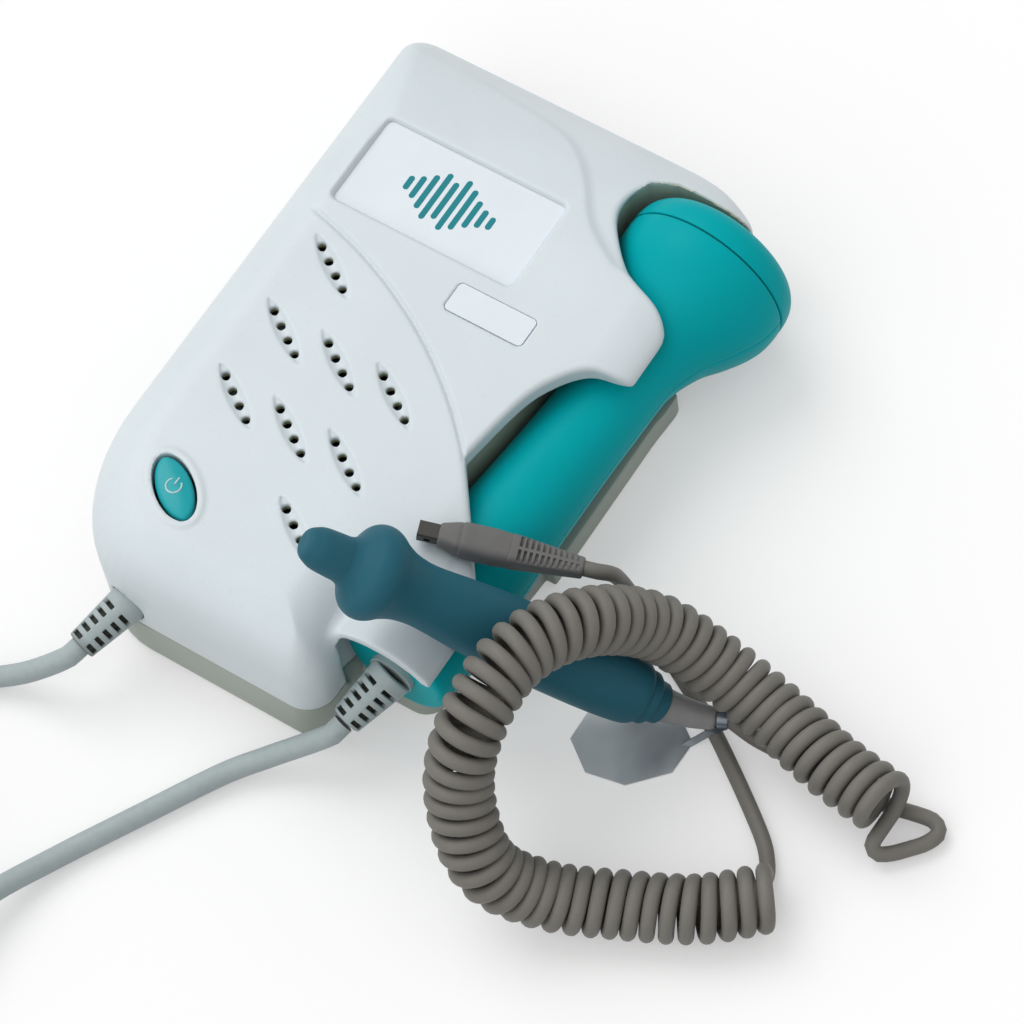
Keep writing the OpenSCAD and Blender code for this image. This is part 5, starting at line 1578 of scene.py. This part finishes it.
@dataclass
class VascularProbe:
    """Slate pen-shaped probe that stands in the curled cord: body, tip, stepped collar and smooth relief."""

    cord: CurlyCord
    tail: Triple = (76.3, -30.35, 8.9)
    length: float = 82.4
    slope: float = 39.5
    body_profile: tuple[Pair, ...] = (
        (8.8, 4.5), (9.6, 4.75), (10.6, 5.4), (11.5, 6.5), (12.3, 7.75), (12.9, 8.45), (13.8, 9.0),
        (15.0, 9.3), (16.4, 9.2), (17.8, 8.65), (19.4, 7.7), (22.0, 6.7), (25.0, 6.2), (28.0, 6.15),
        (32.0, 6.45), (38.0, 6.95), (44.0, 7.3), (52.0, 7.42), (60.0, 7.42), (66.0, 7.32), (71.0, 7.08),
        (74.6, 6.75), (76.2, 6.35), (77.0, 5.7),
    )
    tip_profile: tuple[Pair, ...] = (
        (0.25, 1.4), (0.3, 2.1), (0.65, 2.8), (1.6, 3.42), (3.4, 4.1), (6.4, 4.35), (8.0, 4.42),
        (9.0, 4.47),
    )
    collar_profile: tuple[Pair, ...] = (
        (76.8, 5.2), (77.3, 5.45), (79.0, 5.35), (79.4, 5.05), (79.5, 4.55), (79.8, 4.4), (82.0, 4.15),
        (82.4, 3.7),
    )

    @property
    def way(self) -> np.ndarray:
        """The direction from the nose to the tail."""
        return direction(self.cord.probe_turn, self.slope)

    def shell(self, name: str, node: str, profile: np.ndarray, sides: int,
              finish: Finish) -> bpy.types.Object:
        """Turns one piece of the probe and puts it in the place of its CAD node."""
        place = standing(np.array(self.tail) - self.length * self.way, self.way)
        return piece(name, turned(closed(profile), place, sides), "vascular_probe", finish, (node,))

    def build(self) -> None:
        """Makes the probe's pieces."""
        body, tip = curve_through(list(self.body_profile), 6), curve_through(list(self.tip_profile), 5)
        self.shell("vascular_shell", "pencil_body", body, 96, Finish.slate_shell)
        self.shell("vascular_tip", "pencil_tip", tip, 72, Finish.slate_tip)
        profile = np.array(self.collar_profile)
        collar = self.shell("vascular_collar", "pencil_collar", profile, 72, Finish.slate_tip)
        collar.data.set_sharp_from_angle(angle=math.radians(30))
        self.relief()

    def relief(self) -> None:
        """Bends the smooth tapered relief from the collar down to the cord."""
        start = np.array(self.tail) - 1.4 * self.way
        end = np.array(self.cord.probe_start) / MM + 0.3 * self.cord.probe_way
        t = np.linspace(0, 1, 28)[:, None]
        pull = 0.95 * np.linalg.norm(end - start)
        path = ((2 * t**3 - 3 * t**2 + 1) * start + (t**3 - 2 * t**2 + t) * pull * self.way
                + (3 * t**2 - 2 * t**3) * end + (t**3 - t**2) * pull * self.cord.probe_way)
        radius = np.interp(t[:, 0], [0, 0.06, 0.12, 0.93, 0.98, 1.0], [3.1, 3.4, 3.5, 2.3, 2.2, 1.9])
        piece("vascular_relief", swept(path, radius, 40), "vascular_probe", Finish.relief_grey,
              ("pencil_relief",))


@dataclass
class Plug:
    """Small grey plug parked over the case: metal shell, stepped nose, body and slotted relief."""

    at: Triple = (26.1, -33.6, 38.0)
    dip: float = 9.0
    turn: float = 20.0
    shell_l: float = 4.0
    nose_l: float = 4.2
    body_l: float = 10.0
    relief_l: float = 14.0
    wide: float = 6.8
    thick: float = 5.4
    room: Pair = (3.6, 2.9)
    slots: int = 11

    @property
    def way(self) -> np.ndarray:
        """The direction from the metal end to the cord."""
        return direction(self.turn, self.dip)

    @property
    def end(self) -> np.ndarray:
        """Where the cord comes out."""
        return np.array(self.at) + (self.shell_l + self.nose_l + self.body_l + self.relief_l) * self.way

    def skin(self, block: Block, form: np.ndarray) -> Skin:
        """Draws a form's skin in its place."""
        dip = Matrix.Rotation(math.radians(self.dip), 4, "Y")
        turn = Matrix.Rotation(math.radians(self.turn), 4, "Z")
        vertices, faces = block.skin(form)
        return moved(vertices, Matrix.Translation(Vector(self.at)) @ turn @ dip), faces

    def bar(self, block: Block, span: Pair, wide: Number, thick: Number, corner: float) -> np.ndarray:
        """Forms a bar along X with round long edges, whose section may change along it."""
        section = box_plan(block.y, block.z, (0.0, 0.0), (wide, thick), corner)
        return common(section, between(block.x, *span), 0.45)

    def build(self) -> list[bpy.types.Object]:
        """Makes the plug's pieces.

        Returns:
            The pieces that lie on the cord.
        """
        nose_x = self.shell_l
        body_x = nose_x + self.nose_l
        relief_x = body_x + self.body_l
        end = relief_x + self.relief_l
        room_y, room_z = self.room
        block = Block.around((nose_x, -room_y, -room_z), (relief_x + 0.4, room_y, room_z), 0.14)
        nose_wide = np.interp(block.x, [nose_x, body_x - 0.6], [4.4, 6.0])
        nose = self.bar(block, (nose_x, body_x + 0.5), nose_wide, nose_wide * 0.78, 1.3)
        places = [body_x, body_x + 1.2, relief_x - 3, relief_x + 0.4]
        wide = np.interp(block.x, places, [6.6, self.wide, self.wide, 6.2])
        thick = np.interp(block.x, places, [5.1, self.thick, self.thick, 5.0])
        body = self.bar(block, (body_x, relief_x), wide, thick, 1.9)
        fine = Block.around((relief_x - 0.5, -room_y, -room_z), (end, room_y, room_z), 0.11)
        relief = self.relief(fine, relief_x, end)
        parts = (("nose", block, nose), ("body", block, body), ("relief", fine, relief))
        return [
            piece(f"plug_{name}_cover", self.skin(made_in, form), "case", Finish.plug_grey, (f"plug_{name}",))
            for name, made_in, form in parts
        ]

    def relief(self, block: Block, start: float, end: float) -> np.ndarray:
        """Forms the relief, with two rows of slots above and two below."""
        x, y, z = block.x, block.y, block.z
        share = np.clip((x - start) / (end - start), 0, 1)
        wide, thick = 6.4 - 2.5 * share, 5.0 - 1.3 * share
        form = self.bar(block, (start - 0.5, end), wide, thick, 1.45)
        step = (end - start - 1.6) / self.slots
        for k in range(self.slots):
            middle = start + 1.0 + (k + 0.5) * step
            reach = (2.3 - 0.9 * k / self.slots) / 2
            spot = np.abs(np.abs(y) - reach - 0.35) - reach
            slot = np.maximum(np.maximum(np.abs(x - middle) - 0.28, spot), 1.62 - np.abs(z))
            form = cut(form, slot, 0.08)
        return form


@dataclass
class PowerButton:
    """Crowned teal almond button with a generic power symbol on it."""

    at: Places = PLACES
    length: float = 14.7
    width: float = 7.0
    rise: float = 0.8
    symbol_r: float = 1.55

    def top(self, u: np.ndarray, v: np.ndarray) -> np.ndarray:
        """Gives the crown's height over a place on the button."""
        out = (2 * u / self.length) ** 2 + (2 * v / self.width) ** 2
        return self.at.face + self.rise - 0.75 * out

    def build(self) -> None:
        """Makes the button and its symbol."""
        block = Block.around((-8.2, -4.4, 29.6), (8.2, 4.4, 36.4), 0.16)
        a = np.radians(np.arange(0, 360, 6))
        outline = np.stack([
            self.length / 2 * np.cos(a), self.width / 2 * np.sign(np.sin(a)) * np.abs(np.sin(a)) ** 1.15
        ], axis=1)
        side = plan(outline, block.x, block.y)
        form = common(np.maximum(side, 30.2 - block.z), block.z - self.top(block.x, block.y), 0.7)
        place = Matrix.Translation(Vector((*self.at.button_at, 0)))
        place = place @ Matrix.Rotation(self.at.button_turn, 4, "Z")
        vertices, faces = block.skin(form)
        piece("button_cap", (moved(vertices, place), faces), "button", Finish.teal_button, ("power_button",))
        ring = [(math.sin(b), math.cos(b)) for b in np.radians(np.arange(38, 323, 9))]
        bar = [(0.0, r) for r in np.linspace(0.35, 2.0, 8)]
        for name, line in (("power_ring", self.symbol_r * np.array(ring)), ("power_bar", np.array(bar))):
            u, v = rotated(*line.T, self.at.button_turn)
            vertices, faces = swept(np.column_stack([u, v, self.top(u, v) + 0.02]), 0.17, 10)
            piece(name, (moved(vertices, place), faces), "button", Finish.symbol_white)


@dataclass
class FaceMarks:
    """What is printed on the window plate: a generic row of bars."""

    ink: float = 0.04
    middle: Pair = (-10.4, 32.4)
    plate_z: float = 33.5
    heights: tuple[float, ...] = (2.2, 4.4, 7.4, 10.6, 8.2, 11.6, 9.0, 5.6, 3.2, 1.8)
    bar_w: float = 1.25
    pitch: float = 2.15

    def bar(self, x: float, length: float) -> Skin:
        """Draws one bar with round ends."""
        a = np.radians(np.arange(0, 181, 15))
        round_x, round_y = self.bar_w / 2 * np.cos(a), length / 2 + self.bar_w / 2 * np.sin(a)
        y = self.middle[1]
        outline = np.vstack([
            np.column_stack([x + round_x, y + round_y]), np.column_stack([x - round_x, y - round_y])
        ])
        z = np.repeat([self.plate_z - 0.02, self.plate_z + self.ink], len(outline))
        return np.column_stack([np.vstack([outline, outline]), z]), ring_faces(2, len(outline))

    def build(self) -> None:
        """Prints the bars, side by side."""
        first = self.middle[0] - self.pitch * (len(self.heights) - 1) / 2
        for k, height in enumerate(self.heights):
            skin = self.bar(first + k * self.pitch, height)
            piece(f"window_bar_{k + 1}", skin, "case", Finish.print_ink)


def dress_nodes() -> None:
    """Gives each CAD node that keeps its shape the finish of its material slot."""
    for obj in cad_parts.values():
        for place in obj.material_slots:
            name = place.material.name.split(".")[0]
            place.material = Finish[name].material
    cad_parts["plug_shell"].material_slots[0].material = Finish.dark_steel.material


def main() -> None:
    """Builds the studio and the doppler, piece by piece."""
    logging.basicConfig(level=logging.INFO, format="%(name)s: %(message)s")
    Studio().build()
    dress_nodes()
    GreyCord().build()
    plug = Plug()
    cord = CurlyCord(plug)
    cord.build([*plug.build(), "plug_shell", "plug_contacts"])
    SlottedRelief("case_cord_relief", "case_relief", "case", CASE_EXIT, root=-5.0).build()
    SlottedRelief("fetal_cord_relief", "fetal_relief", "fetal_probe", FETAL_EXIT, length=12.2, start_r=4.5,
                  end_r=3.2, root=-0.6).build()
    FetalProbe().build()
    VascularProbe(cord).build()
    PowerButton().build()
    FaceMarks().build()
    CaseShells().build()


if __name__ == "__main__":
    main()
